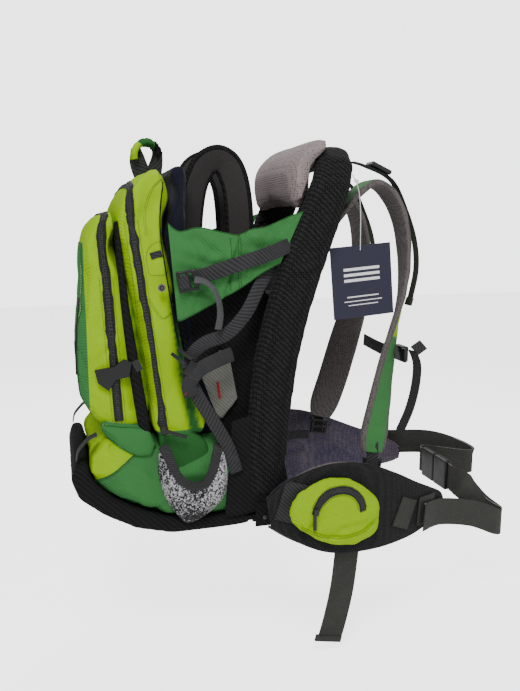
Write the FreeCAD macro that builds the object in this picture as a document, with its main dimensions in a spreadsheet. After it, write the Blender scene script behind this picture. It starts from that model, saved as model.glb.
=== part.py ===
import FreeCAD, Part
import Sketcher
import math
import os

# Framed child carrier worn on the back, millimetres.
# +X is the wearer's forward, +Y the wearer's left, +Z up.
# The origin is the middle of the lumbar pad's front face, at hip belt height.

V = FreeCAD.Vector
UP = V(0, 0, 1)
DRAWN_HEIGHT = 680
DRAWN_DEPTH = 400
DRAWN_SPAN = 264
SIDES = (("left", 1), ("right", -1))

DIMENSIONS = {
    "carrier_height": 680,      # base panel to top of the frame
    "carrier_depth": 400,       # rear of the base to the wearer's back
    "rail_span": 264,           # between the two rail centres
    "tube_od": 18,
    "tube_wall": 1.6,
    "bar_od": 14,
    "stand_od": 14,
    "pin_dia": 8,
    "pin_play": 0.05,
    "eye_length": 16,
    "eye_od": 20,
    "ear_thickness": 5,
    "bracket_depth": 34,
    "bracket_height": 44,
    "skin_gap": 0.5,            # air between two soft pieces
    "sleeve_depth": 40,
    "rim_cover": 8,             # stand panel outside the middle of its tube
    "pack_width": 296,
    "pocket_width": 260,
    "base_width": 276,
    "bottle_pocket": 34,
    "mesh_wall": 3,
    "foam_width": 236,
    "cushion_width": 144,
    "harness_width": 46,
    "harness_thickness": 9,
    "haul_webbing": 34,
    "webbing_thickness": 1.8,
    "side_webbing": 25,
    "lifter_webbing": 20,
    "belt_webbing": 54,
    "tail_webbing": 48,
    "pad_thickness": 14,
    "wing_thickness": 18,
    "wing_offset": 34,          # hinge of the wing outside the rail centre
    "wing_bulge": 15,           # widest place of the wing outside its hinge
    "hip_pocket_depth": 21,
    "lumbar_width": 176,
    "lumbar_height": 150,
    "lumbar_depth": 36,
    "lumbar_round": 14,
    "zip_width": 15,
    "zip_thickness": 1.6,
    "slider_gap": 0.4,
    "snap_od": 13,
    "snap_bore": 4,
    "snap_height": 2.6,
    "snap_depth": 2,
    "ladder_length": 34,
    "ladder_bar": 5,
    "ladder_thickness": 7,
    "buckle_gap": 3,
    "buckle_length": 48,
    "buckle_thickness": 14,
    "tag_width": 118,
    "tag_height": 130,
    "tag_thickness": 0.8,
    "tag_hole": 4,
    "string_dia": 1.6,
}

doc = FreeCAD.newDocument("carrier")
sheet = doc.addObject("Spreadsheet::Sheet", "Dimensions")
for row, (alias, value) in enumerate(DIMENSIONS.items(), 1):
    sheet.set(f"A{row}", alias)
    sheet.set(f"B{row}", str(value))
    sheet.setAlias(f"B{row}", alias)
doc.recompute()


class Sizes:
    pass


size = Sizes()
for alias in DIMENSIONS:
    setattr(size, alias, float(getattr(sheet, alias)))

rail_y = size.rail_span / 2
pack_y = size.pack_width / 2
pocket_y = size.pocket_width / 2
base_y = size.base_width / 2
sleeve_out = rail_y + size.sleeve_depth / 2
sleeve_in = rail_y - size.sleeve_depth / 2
rim_y = rail_y + size.rim_cover
panel_y = sleeve_out - 7
wing_y = rail_y + size.wing_offset
stretch_x = size.carrier_depth / DRAWN_DEPTH
stretch_y = size.rail_span / DRAWN_SPAN
stretch_z = size.carrier_height / DRAWN_HEIGHT
pocket_floor = wing_y + size.wing_bulge + size.wing_thickness / 2 + 1
pocket_face = pocket_floor + size.hip_pocket_depth
parts = {}


def at(x, y, z):
    """Side-view place, stretched with the carrier's depth and height."""
    return V(x * stretch_x, y, z * stretch_z)


def keep(label, thing):
    thing.Label = label
    parts[label] = thing
    return thing


def soft(label, shape):
    """A sewn or bent piece, whose shape Part's own functions make."""
    feature = doc.addObject("Part::Feature", label)
    feature.Shape = shape
    return keep(label, feature)


def bind(thing, **cells):
    for name, expression in cells.items():
        thing.setExpression(name, expression)
    return thing


def largest(shape):
    return max(shape.Solids, key=lambda solid: solid.Volume)


def polygon(points):
    return Part.makePolygon(points + points[:1])


def smooth_outline(points):
    curve = Part.BSplineCurve()
    curve.interpolate(Points=points, PeriodicFlag=True)
    return Part.Wire(curve.toShape())


def slab(outline, low_y, high_y, edge=0, inset=1.0):
    """A side outline carried across the width, its ends drawn in by inset."""
    middle_x = sum(x for x, z in outline) / len(outline)
    middle_z = sum(z for x, z in outline) / len(outline)
    levels = [(low_y, inset), (low_y + edge, 1.0), (high_y - edge, 1.0), (high_y, inset)]
    if not edge:
        levels = [(low_y, 1.0), (high_y, 1.0)]
    wires = []
    for y, share in levels:
        points = []
        for x, z in outline:
            points.append(at(middle_x + (x - middle_x) * share, y, middle_z + (z - middle_z) * share))
        wires.append(smooth_outline(points))
    return Part.makeLoft(wires, True, True)


def plate(outline, low_y, high_y):
    """A flat-sided sheet of the given side outline."""
    face = Part.Face(polygon([at(x, low_y, z) for x, z in outline]))
    return face.extrude(V(0, high_y - low_y, 0))


def rounded(points, share=0.45):
    """Straight runs joined by tangent arcs."""
    edges = []
    start = points[0]
    for before, corner, after in zip(points, points[1:], points[2:]):
        back = (before - corner).normalize()
        ahead = (after - corner).normalize()
        half_turn = (math.pi - back.getAngle(ahead)) / 2
        reach = share * min((before - corner).Length, (after - corner).Length)
        radius = reach / math.tan(half_turn)
        middle = corner + (back + ahead).normalize() * (math.hypot(radius, reach) - radius)
        edges.append(Part.LineSegment(start, corner + back * reach).toShape())
        edges.append(Part.Arc(corner + back * reach, middle, corner + ahead * reach).toShape())
        start = corner + ahead * reach
    edges.append(Part.LineSegment(start, points[-1]).toShape())
    return Part.Wire(edges)


def round_bar(points, diameter):
    path = rounded(points)
    direction = (points[1] - points[0]).normalize()
    circle = Part.Wire(Part.Circle(points[0], direction, diameter / 2).toShape())
    return path.makePipeShell([circle], True, False)


def ribbon(points, across, width, thickness):
    """Webbing along a path, its width kept along one direction."""
    across = across.normalize()
    direction = (points[1] - points[0]).normalize()
    face = across.cross(direction).normalize() * (thickness / 2)
    edge = across * (width / 2)
    start = points[0]
    profile = polygon([start + face + edge, start - face + edge, start - face - edge, start + face - edge])
    pipe = Part.BRepOffsetAPI.MakePipeShell(rounded(points))
    pipe.setBiNormalMode(across)
    pipe.add(profile, False, False)
    pipe.build()
    pipe.makeSolid()
    return pipe.shape()


def oval(centre, direction, across, width, thickness, corners=12, power=0.7):
    """A closed section square to a direction, between an ellipse and a rectangle."""
    across = (across - direction * across.dot(direction)).normalize()
    face = direction.cross(across).normalize()
    points = []
    for step in range(corners):
        angle = 2 * math.pi * (step + 0.5) / corners
        along = math.copysign(abs(math.cos(angle)) ** power, math.cos(angle))
        out = math.copysign(abs(math.sin(angle)) ** power, math.sin(angle))
        points.append(centre + across * (width / 2 * along) + face * (thickness / 2 * out))
    return polygon(points)


def band(stations):
    """A pad or strap through stations of centre, width direction, width and thickness."""
    centres = [station[0] for station in stations]
    wires = []
    for index, (centre, across, width, thickness) in enumerate(stations):
        before = centres[max(index - 1, 0)]
        after = centres[min(index + 1, len(centres) - 1)]
        direction = (after - before).normalize()
        wires.append(oval(centre, direction, across, width, thickness))
    return Part.makeLoft(wires, True, True)


def block(centre, length, width, thickness, slope=0.0, along_y=False):
    """A box about its middle: length in the side view at a slope, thickness across."""
    if along_y:
        box = Part.makeBox(thickness, length, width, V(-thickness / 2, -length / 2, -width / 2))
    else:
        box = Part.makeBox(length, thickness, width, V(-length / 2, -thickness / 2, -width / 2))
    box = box.makeFillet(min(length, width, thickness) * 0.25, box.Edges)
    box.rotate(V(0, 0, 0), V(0, 1, 0), -slope)
    box.translate(centre)
    return box


# ---- frame -----------------------------------------------------------------

rail = [(-62, -72), (-53, 70), (-44, 175), (-13, 302), (26, 414), (54, 492)]
foot = at(rail[0][0], rail_y, rail[0][1])


def frame_points():
    half = [at(x, rail_y, z) for x, z in rail]
    half.append(at(74, rail_y - 22, 545))
    half.append(at(80, rail_y - 78, 557))
    return half + [V(p.x, -p.y, p.z) for p in reversed(half)]


def frame_tube():
    outer = round_bar(frame_points(), size.tube_od)
    inner = round_bar(frame_points(), size.tube_od - 2 * size.tube_wall)
    soft("frame_tube", outer.cut(inner))
    return outer


def rail_x(z):
    """The rail's middle at a height of the side view."""
    for (low_x, low_z), (high_x, high_z) in zip(rail, rail[1:]):
        if z <= high_z:
            return low_x + (high_x - low_x) * (z - low_z) / (high_z - low_z)
    return rail[-1][0]


def crossbars(rails):
    bars = []
    for z in (-36, 300):
        start = at(rail_x(z), 0, z) - V(0, rail_y, 0)
        bar = Part.makeCylinder(size.bar_od / 2, size.rail_span, start, V(0, 1, 0))
        bars.append(largest(bar.cut(rails)))
    soft("frame_crossbars", Part.makeCompound(bars))


def sleeve_stations(y_sign):
    out = V(1, 0, 0)
    depth = size.sleeve_depth
    half = [(rail_x(-50), -50, 0, 66, depth - 6), (rail_x(20), 20, 0, 78, depth),
            (rail_x(110), 110, 0, 82, depth), (rail_x(200), 200, 0, 84, depth),
            (rail_x(290), 290, 0, 84, depth), (rail_x(370), 370, 0, 84, depth),
            (38, 440, 0, 80, depth), (60, 500, 0, 74, depth),
            (70, 534, 12, 72, depth), (76, 551, 42, 70, depth)]
    stations = []
    for x, z, inward, width, thickness in half:
        stations.append((at(x, y_sign * (rail_y - inward), z), out, width, thickness))
    return stations


def frame_sleeve(rails, bars):
    crown = [(at(78, 0, 555), V(1, 0, 0), 68, size.sleeve_depth)]
    stations = sleeve_stations(1) + crown + sleeve_stations(-1)[::-1]
    sleeve = band(stations).cut(rails)
    for solid in bars.Shape.Solids:
        sleeve = sleeve.cut(solid)
    soft("frame_sleeve", sleeve)


def hinge_bracket(name, side, rails):
    """A clevis under the rail's foot, with the stand's pin across it."""
    box = bind(doc.addObject("Part::Box", name + "_block"), Length="Dimensions.bracket_depth",
               Width="Dimensions.eye_length + 2 * Dimensions.ear_thickness + 1",
               Height="Dimensions.bracket_height")
    slot = bind(doc.addObject("Part::Box", name + "_slot"), Length="Dimensions.bracket_depth + 2",
                Width="Dimensions.eye_length + 1", Height="Dimensions.bracket_height - 10")
    bore = bind(doc.addObject("Part::Cylinder", name + "_bore"), Radius="Dimensions.pin_dia / 2",
                Height="Dimensions.eye_length + 2 * Dimensions.ear_thickness + 3")
    doc.recompute()
    width = box.Width.Value
    low = V(foot.x - size.bracket_depth / 2, side * rail_y - width / 2, foot.z + 10 - size.bracket_height)
    box.Placement.Base = low
    slot.Placement.Base = low + V(-1, size.ear_thickness, -1)
    along_y = FreeCAD.Rotation(V(1, 0, 0), -90)
    bore.Placement = FreeCAD.Placement(pivot(side) - V(0, width / 2 + 1, 0), along_y)
    opened = doc.addObject("Part::Cut", name + "_open")
    opened.Base = box
    opened.Tool = slot
    drilled = doc.addObject("Part::Cut", name + "_drilled")
    drilled.Base = opened
    drilled.Tool = bore
    seat = doc.addObject("Part::Feature", name + "_seat")
    seat.Shape = rails
    bracket = doc.addObject("Part::Cut", name)
    bracket.Base = drilled
    bracket.Tool = seat
    keep(name, bracket)


def pivot(side):
    return V(foot.x, side * rail_y, foot.z - 18)


def hinge_pins():
    pins = []
    for name, side in SIDES:
        pin = bind(doc.addObject("Part::Cylinder", "pin_" + name), Radius="Dimensions.pin_dia / 2",
                   Height="Dimensions.eye_length + 2 * Dimensions.ear_thickness + 1")
        doc.recompute()
        pin.Placement = FreeCAD.Placement(pivot(side) - V(0, pin.Height.Value / 2, 0),
                                          FreeCAD.Rotation(V(1, 0, 0), -90))
        pins.append(pin)
    group = doc.addObject("Part::Compound", "hinge_pins")
    group.Links = pins
    keep("hinge_pins", group)


def kickstand():
    """The U-shaped stand tube, an eye at each end, and the padded panel it carries."""
    half = [pivot(1), at(-190, rail_y, -92), at(-318, rail_y, -58), at(-380, rail_y, 8)]
    path = half + [V(p.x, -p.y, p.z) for p in reversed(half)]
    path[0] = path[0] + (path[1] - path[0]).normalize() * (size.pin_dia / 2 + 3)
    path[-1] = path[-1] + (path[-2] - path[-1]).normalize() * (size.pin_dia / 2 + 3)
    bar = round_bar(path, size.stand_od)
    tube = bar
    for name, side in SIDES:
        start = pivot(side) - V(0, size.eye_length / 2, 0)
        eye = Part.makeCylinder(size.eye_od / 2, size.eye_length, start, V(0, 1, 0))
        tube = tube.fuse(eye)
    for name, side in SIDES:
        start = pivot(side) - V(0, size.eye_length, 0)
        bore = size.pin_dia / 2 + size.pin_play
        tube = tube.cut(Part.makeCylinder(bore, 2 * size.eye_length, start, V(0, 1, 0)))
    soft("kickstand_tube", tube)
    outline = [(-88, -79), (-120, -79), (-190, -77), (-236, -74), (-291, -51), (-330, -30), (-369, 6),
               (-378, 36), (-388, 37), (-397, 8), (-384, -25), (-345, -58), (-292, -88), (-226, -105),
               (-120, -105), (-88, -101)]
    panel = plate(outline, -rim_y, rim_y)
    soft("base_rim", panel.cut(tube))


# ---- back system -----------------------------------------------------------

def back_panel():
    middle = [(-46, -50), (-42, 60), (-36, 160), (-14, 245), (10, 320), (34, 385), (52, 432)]
    half = sleeve_in - 4
    stations = [(at(x, 0, z), V(0, 1, 0), 2 * half, 9) for x, z in middle]
    soft("back_panel", band(stations))


def lumbar_pad():
    depth = f"Dimensions.lumbar_depth * Dimensions.carrier_depth / {DRAWN_DEPTH}"
    height = f"Dimensions.lumbar_height * Dimensions.carrier_height / {DRAWN_HEIGHT}"
    box = bind(doc.addObject("Part::Box", "lumbar_block"), Length=depth, Width="Dimensions.lumbar_width",
               Height=height)
    doc.recompute()
    box.Placement.Base = V(-box.Length.Value, -size.lumbar_width / 2, -box.Height.Value / 2)
    doc.recompute()
    pad = doc.addObject("Part::Fillet", "lumbar_pad")
    pad.Base = box
    chosen = []
    for index, edge in enumerate(box.Shape.Edges, 1):
        ends = edge.Vertexes
        if abs(ends[0].X - ends[1].X) > 1:
            chosen.append((index, size.lumbar_round, size.lumbar_round))
    pad.Edges = chosen
    keep("lumbar_pad", pad)


def head_pad(sleeve):
    outline = [(4, 458), (-6, 500), (0, 540), (18, 562), (44, 577), (66, 577), (40, 545), (26, 500),
               (20, 462)]
    pad = slab(outline, -rail_y - 6, rail_y + 6, 26, 0.8).cut(sleeve.Shape)
    soft("head_pad", largest(pad))


# ---- child seat ------------------------------------------------------------

def seat():
    foam = [(-214, 512), (-206, 537), (-194, 538), (-188, 512), (-190, 440), (-190, 320), (-178, 220),
            (-150, 140), (-144, 112), (-151, 108),
            (-170, 150), (-193, 222), (-205, 293), (-216, 375), (-219, 439)]
    back = slab(foam, -size.foam_width / 2, size.foam_width / 2)
    soft("seat_back_foam", back.cut(parts["daypack_body"].Shape))
    cushion = [(-138, 146), (-96, 150), (-68, 140), (-62, 104), (-86, 72), (-132, 76), (-150, 104)]
    half = size.cushion_width / 2
    soft("seat_cushion", slab(cushion, -half, half, 16, 0.85).cut(parts["seat_back_foam"].Shape))
    front = [at(-112, 0, 154), at(-108, 0, 176), at(-110, 0, 198)]
    strap = ribbon(front, V(0, 1, 0), size.side_webbing, size.webbing_thickness)
    clip = block(at(-110, 0, 219), 12, 34, 40)
    soft("child_buckle", strap.fuse(clip))


def side_panel(name, side):
    outline = [(-226, 436), (-208, 421), (-175, 427), (-108, 415), (-59, 429), (-9, 451), (-25, 391),
               (-44, 364), (-91, 335), (-150, 302), (-208, 273), (-213, 300), (-224, 375)]
    low, high = sorted((side * (panel_y - 4), side * panel_y))
    soft("side_panel_" + name, plate(outline, low, high).cut(parts["frame_sleeve"].Shape))


def child_strap(name, side):
    path = [(-172, 452), (-175, 505), (-156, 546), (-122, 561), (-90, 543), (-72, 490), (-68, 400),
            (-82, 290), (-92, 165)]
    y = side * (size.harness_width / 2 + 31)
    strap = ribbon([at(x, y, z) for x, z in path], V(0, 1, 0), size.harness_width, size.harness_thickness)
    soft("child_strap_" + name, strap)


# ---- daypack ---------------------------------------------------------------

MAIN_ZIP = ((-243, 86), (-288, 462))
FRONT_ZIP = ((-315, 108), (-331, 436))
pack_outline = [(-226, 527), (-221, 495), (-231, 439), (-227, 375), (-215, 293), (-204, 225), (-180, 155),
                (-160, 104), (-164, 64), (-200, 60), (-244, 63), (-256, 110), (-264, 190), (-276, 270),
                (-292, 350), (-304, 430), (-300, 478), (-280, 504), (-254, 524)]
pocket_outline = [(-306, 462), (-336, 455), (-353, 425), (-362, 340), (-371, 250), (-372, 165), (-360, 110),
                  (-334, 84), (-300, 76), (-264, 80), (-260, 112), (-268, 190), (-280, 272), (-296, 352),
                  (-309, 430)]


def daypack():
    soft("daypack_body", slab(pack_outline, -pack_y, pack_y, 24, 0.97))
    soft("outer_pocket", slab(pocket_outline, -pocket_y, pocket_y, 26, 0.93).cut(parts["daypack_body"].Shape))


def zip_strip(ends, y, width):
    (low_x, low_z), (high_x, high_z) = ends
    low, high = at(low_x, y, low_z), at(high_x, y, high_z)
    along = (high - low).normalize()
    side = V(along.z, 0, -along.x) * (width / 2)
    face = Part.Face(polygon([low - side, low + side, high + side, high - side]))
    return face.extrude(V(0, math.copysign(size.zip_thickness, y), 0))


def zips():
    main = [zip_strip(MAIN_ZIP, side * (pack_y + 0.05), size.zip_width) for name, side in SIDES]
    soft("main_zip_tape", Part.makeCompound(main))
    front = [zip_strip(FRONT_ZIP, side * (pocket_y + 0.05), size.zip_width) for name, side in SIDES]
    x, y, z = rear_zip_middle
    rear = Part.makeBox(size.zip_thickness, size.zip_width, 190, V(x, y - size.zip_width / 2, z - 95))
    soft("pocket_zip_tape", Part.makeCompound(front + [rear]))


rear_face = -374 * stretch_x
rear_zip_middle = (rear_face - size.zip_thickness, -60, 215 * stretch_z)


def slider(name, place, y_sign, pull_length, pull_slope):
    """A zip slider and its moulded pull, standing off a side wall by the slider's gap."""
    low = place.y + y_sign * (size.zip_thickness + size.slider_gap + 0.05)
    body = block(V(place.x, low + y_sign * 2.5, place.z), 9, 14, 5)
    reach = pull_length / 2 + 4
    turn = math.radians(pull_slope)
    middle = V(place.x + reach * math.cos(turn), low + y_sign * 2.5, place.z + reach * math.sin(turn))
    soft(name, body.fuse(block(middle, pull_length, 6, 4, pull_slope)))


def sliders():
    slider("main_zip_slider", at(MAIN_ZIP[0][0], -pack_y, MAIN_ZIP[0][1] + 4), -1, 38, -22)
    slider("front_zip_slider", at(FRONT_ZIP[1][0], pocket_y, FRONT_ZIP[1][1] - 6), 1, 34, -86)
    x, y, z = rear_zip_middle
    out = x - size.slider_gap
    body = Part.makeBox(5, 9, 14, V(out - 5, y - 4.5, z + 5))
    pull = Part.makeBox(4, 6, 46, V(out - 4.5, y - 3, z - 40))
    soft("rear_zip_slider", body.fuse(pull))


def haul_loop():
    path = [(-262, 514), (-270, 548), (-256, 572), (-232, 575), (-214, 553), (-232, 520)]
    loop = ribbon([at(x, 0, z) for x, z in path], V(0, 1, 0), size.haul_webbing, 3)
    soft("haul_loop", largest(loop.cut(parts["daypack_body"].Shape)))


def round_sketch(body, name, diameter, lift=0.0):
    """A circle on the body's XZ plane, its radius bound to a cell of the sheet."""
    sketch = body.newObject("Sketcher::SketchObject", name)
    plane = [feature for feature in body.Origin.OriginFeatures if feature.Role == "XZ_Plane"][0]
    sketch.AttachmentSupport = [(plane, "")]
    sketch.MapMode = "FlatFace"
    sketch.AttachmentOffset = FreeCAD.Placement(V(0, 0, lift), FreeCAD.Rotation())
    circle = sketch.addGeometry(Part.Circle(V(0, 0, 0), UP, getattr(size, diameter) / 2))
    sketch.addConstraint(Sketcher.Constraint("Radius", circle, getattr(size, diameter) / 2))
    sketch.setExpression("Constraints[0]", f"Dimensions.{diameter} / 2")
    doc.recompute()
    return sketch


def press_snaps():
    snaps = []
    for name, side in SIDES:
        body = doc.addObject("PartDesign::Body", "snap_" + name)
        pad = body.newObject("PartDesign::Pad", "snap_pad_" + name)
        pad.Profile = round_sketch(body, "snap_sketch_" + name, "snap_od")
        pad.setExpression("Length", "Dimensions.snap_height")
        doc.recompute()
        hole = round_sketch(body, "snap_hole_" + name, "snap_bore", size.snap_height)
        pocket = body.newObject("PartDesign::Pocket", "snap_socket_" + name)
        pocket.Profile = hole
        pocket.setExpression("Length", "Dimensions.snap_depth")
        doc.recompute()
        turn = FreeCAD.Rotation(UP, 180 if side > 0 else 0)
        body.Placement = FreeCAD.Placement(at(-240, side * (pack_y + 0.05), 330), turn)
        snaps.append(body)
    doc.recompute()
    group = doc.addObject("Part::Compound", "press_snaps")
    group.Links = snaps
    keep("press_snaps", group)


def compression():
    straps = []
    clips = []
    for name, side in SIDES:
        y = side * (pocket_y + 3.4)
        wing = plate([(-352, 196), (-347, 174), (-330, 160), (-318, 178), (-296, 182), (-291, 206),
                      (-304, 212),
                      (-320, 200)], *sorted((side * (pocket_y + 2.2), side * (pocket_y + 7))))
        clips.append(wing)
        straps.append(band([(at(-287, y, 197), V(0, 0, 1), 20, 2), (at(-276, y, 202), V(0, 0, 1), 20, 2)]))
    soft("compression_clips", Part.makeCompound(clips))
    soft("compression_straps", Part.makeCompound(straps))


# ---- base ------------------------------------------------------------------

def base():
    outline = [(-98, 40), (-122, 56), (-240, 56), (-296, 66), (-346, 74), (-372, 44), (-364, 10), (-326, -26),
               (-288, -47), (-234, -70), (-160, -74), (-102, -74)]
    soft("base_compartment", plate(outline, -base_y, base_y).cut(parts["frame_sleeve"].Shape))
    path = [(-387, 41), (-384, 58), (-366, 78), (-352, 84)]
    straps = []
    for name, side in SIDES:
        points = [at(x, side * (base_y - 14), z) for x, z in path]
        straps.append(ribbon(points, V(0, 1, 0), 20, size.webbing_thickness))
    soft("stand_straps", Part.makeCompound(straps))


def mesh_pocket(name, side):
    """An open-topped bottle pocket on the side of the base, 3 mm walls."""
    outer = [(-247, 60), (-245, 15), (-234, -32), (-208, -72), (-160, -68), (-136, -41), (-129, 13),
             (-138, 58),
             (-156, 40), (-170, 20), (-190, 14), (-210, 26), (-226, 50)]
    inner = [(-243, 75), (-241.5, 15), (-230.5, -31), (-206, -69), (-161.5, -65), (-139.5, -39), (-132.5, 13),
             (-140, 75)]
    near, far = base_y + size.skin_gap, base_y + size.bottle_pocket
    low, high = sorted((side * near, side * far))
    wall = plate(outer, low, high)
    low, high = sorted((side * (near + 2), side * (far - size.mesh_wall)))
    soft("mesh_pocket_" + name, wall.cut(plate(inner, low, high)))


def stirrup(name, side):
    path = [(-84, 308, 24), (-112, 264, 26), (-146, 238, 30), (-160, 206, 34), (-151, 160, 26),
            (-133, 92, 22),
            (-113, 6, 20)]
    y = side * (base_y + 4)
    stations = [(at(x, y, z), V(1, 0, 0.3), width, 4) for x, z, width in path]
    soft("stirrup_" + name, band(stations))


# ---- cockpit straps --------------------------------------------------------

def ladderlock(centre, length, width, slope):
    """A moulded frame with three bars and two webbing slots."""
    frame = block(V(0, 0, 0), length, width, size.ladder_thickness)
    slot = (length - 3 * size.ladder_bar) / 2
    for sign in (-1, 1):
        middle = V(sign * (size.ladder_bar + slot) / 2, 0, 0)
        gap = Part.makeBox(slot, 2 * size.ladder_thickness, width - 2 * size.ladder_bar,
                           middle - V(slot / 2, size.ladder_thickness, width / 2 - size.ladder_bar))
        frame = frame.cut(gap)
    frame.rotate(V(0, 0, 0), V(0, 1, 0), -slope)
    frame.translate(centre)
    return frame


def side_straps():
    locks = []
    for name, side in SIDES:
        y = side * sleeve_out
        locks.append(ladderlock(at(-198, y + side * 3.5, 341), size.ladder_length,
                                size.side_webbing + 2 * size.ladder_bar, 10))
        path = [(-178, 347), (-168, 351), (-100, 370), (-24, 395)]
        slope = V(-0.28, 0, 1)
        strip = band([(at(x, y, z), slope, size.side_webbing, size.webbing_thickness) for x, z in path])
        loose = ((-176, 334), (-160, 326), (-152, 300), (-158, 262))
        tail = ribbon([at(x, y + side * 16, z) for x, z in loose],
                      V(0, 1, 0), size.side_webbing, size.webbing_thickness)
        soft("side_strap_" + name, Part.makeCompound([strip, tail]))
    soft("side_ladderlocks", Part.makeCompound(locks))


# ---- shoulder harness ------------------------------------------------------

strap_path = [(60, 398, 62, 0, 56), (96, 450, 74, 0, 60), (128, 490, 86, 0, 64), (158, 506, 93, 0, 64),
              (188, 486, 96, 0, 64), (212, 440, 97, 4, 64), (223, 375, 97, 10, 64), (221, 310, 98, 20, 64),
              (206, 244, 101, 34, 64), (189, 177, 107, 48, 64), (171, 100, 118, 62, 64),
               (156, 40, 130, 74, 62),
              (150, 10, 136, 78, 46)]


def shoulder_strap(name, side):
    stations = []
    for x, z, y, turn, width in strap_path:
        angle = math.radians(turn)
        across = V(math.sin(angle), -side * math.cos(angle), 0)
        stations.append((at(x, side * y * stretch_y, z), across, width, size.pad_thickness))
    soft("shoulder_strap_" + name, band(stations))


LIFTER_Y = 93


def load_lifters():
    path = [(114, 543), (142, 536), (194, 512), (226, 456), (246, 400), (251, 347), (240, 290)]
    buckles = []
    for name, side in SIDES:
        y = side * LIFTER_Y * stretch_y
        points = [at(x, y, z) for x, z in path]
        webbing = ribbon(points, V(0, 1, 0), size.lifter_webbing, size.webbing_thickness)
        soft("load_lifter_" + name, largest(webbing.cut(parts["frame_sleeve"].Shape)))
        buckle = block(V(0, 0, 0), 42, 8, 30)
        buckle.rotate(V(0, 0, 0), V(0, 1, 0), 24)
        buckle.translate(at(168, y, 533))
        buckles.append(buckle.cut(parts["load_lifter_" + name].Shape))
    soft("lifter_buckles", Part.makeCompound(buckles))


def lower_straps():
    locks = []
    straps = []
    for name, side in SIDES:
        y = rail_y + 7
        locks.append(ladderlock(at(148, side * y, -16), size.ladder_length, 38, 80))
        points = [at(124, side * y, -33), at(96, side * (y + 2), -32), at(40, side * (y + 4), -38),
                  at(-18, side * (y + 7), -48)]
        straps.append(ribbon(points, UP, size.lifter_webbing, size.webbing_thickness))
    soft("strap_ladderlocks", Part.makeCompound(locks))
    soft("lower_webbing", Part.makeCompound(straps))


def sternum():
    """Chest strap: webbing, a side-release body on the right, its hanging tail and a clip on each pad."""
    x, z = 228, 188
    spread = stretch_y
    webbing = ribbon([at(x, 84 * spread, z), at(x + 3, 20, z - 6), at(x + 3, -20, z - 6),
                      at(x, -66 * spread, z)],
                     UP, size.side_webbing, size.webbing_thickness)
    tail = ribbon([at(240, -112 * spread, 196), at(254, -106 * spread, 166), at(256, -98 * spread, 120),
                   at(248, -92 * spread, 74), at(231, -88 * spread, 30)],
                  V(-0.3, 0.95, 0), 22, size.webbing_thickness)
    soft("sternum_strap", Part.makeCompound([webbing, tail]))
    body = block(at(x, -66 * spread, z) - V(0, 22, 0), 40, 30, 13, along_y=True)
    clips = [block(at(221, side * 113 * spread, z), 16, 26, 5, along_y=True) for name, side in SIDES]
    soft("sternum_buckle", Part.makeCompound([body] + clips))


# ---- hip belt --------------------------------------------------------------

wing_plan = [(-62, 0), (-20, 9), (40, size.wing_bulge), (100, size.wing_bulge), (160, 7), (220, -12),
             (272, -38),
             (310, -64), (324, -76)]
wing_edges = [(-100, -48), (-126, -10), (-150, 14), (-157, 12), (-154, -8), (-146, -34), (-134, -56),
              (-122, -74),
              (-112, -88)]
DROOP = {"left": 22, "right": -22}


def sag(name, x):
    return DROOP[name] * (max(x, 0) / 320) ** 1.5


def hip_wing(name, side):
    stations = []
    for (x, out), (low, high) in zip(wing_plan, wing_edges):
        middle = (low + high) / 2 + sag(name, x)
        stations.append((at(x, side * (wing_y + out), middle), UP, high - low, size.wing_thickness))
    soft("hip_wing_" + name, band(stations))


HIP_ZIP_RADIUS = 46


def arc_strip(centre, radius, width, low, high):
    """A flat strip along an arc in the side view, between two angles in degrees."""
    def place(r, degrees):
        turn = math.radians(degrees)
        return centre + V(r * math.cos(turn), 0, r * math.sin(turn))
    inner, outer = radius - width / 2, radius + width / 2
    middle = (low + high) / 2
    edges = [Part.Arc(place(outer, low), place(outer, middle), place(outer, high)).toShape(),
             Part.LineSegment(place(outer, high), place(inner, high)).toShape(),
             Part.Arc(place(inner, high), place(inner, middle), place(inner, low)).toShape(),
             Part.LineSegment(place(inner, low), place(outer, low)).toShape()]
    return Part.Face(Part.Wire(edges))


def hip_pocket(name, side):
    outline = [(-36, -66), (-14, -25), (22, -6), (70, -5), (116, -28), (142, -68), (138, -106), (108, -130),
               (52, -134), (-12, -100)]
    outline = [(x, z + sag(name, x)) for x, z in outline]
    wires = []
    for y, share in ((pocket_floor, 1.0), (pocket_floor + 10, 1.0), (pocket_face, 0.82)):
        points = [at(54 + (x - 54) * share, side * y, -70 + (z + 70) * share) for x, z in outline]
        wires.append(smooth_outline(points))
    pocket = Part.makeLoft(wires, True, True)
    x, z = hip_arc(name)
    centre = at(x, side * (pocket_face + 0.05), z)
    tape = arc_strip(centre, HIP_ZIP_RADIUS, size.zip_width * 0.7, 5, 172)
    tape = tape.extrude(V(0, side * size.zip_thickness, 0))
    soft("hip_pocket_" + name, Part.makeCompound([pocket, tape]))


def hip_arc(name):
    return 54, -70 + sag(name, 54)


def hip_slider(name, side):
    """The slider sits on the pocket's curved zip and turns about the middle of its arc."""
    face = pocket_face + size.zip_thickness
    x, z = hip_arc(name)
    angle = math.radians(166)
    reach = V(HIP_ZIP_RADIUS * math.cos(angle), 0, HIP_ZIP_RADIUS * math.sin(angle))
    place = at(x, side * (face + size.slider_gap + 2.5), z) + reach
    body = block(place, 9, 13, 5)
    pull = block(place + V(-2, 0, -19), 6, 28, 4)
    soft("hip_zip_slider_" + name, body.fuse(pull))


belt_plan = [(248, 2), (312, -44), (400, -66), (468, -80), (494, -106), (472, -122), (420, -98), (384, -84)]
belt_drop = {"left": (-64, -60, -62, -84, -98, -98, -94, -90),
             "right": (-118, -132, -156, -188, -196, -182, -136, -100)}


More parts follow.
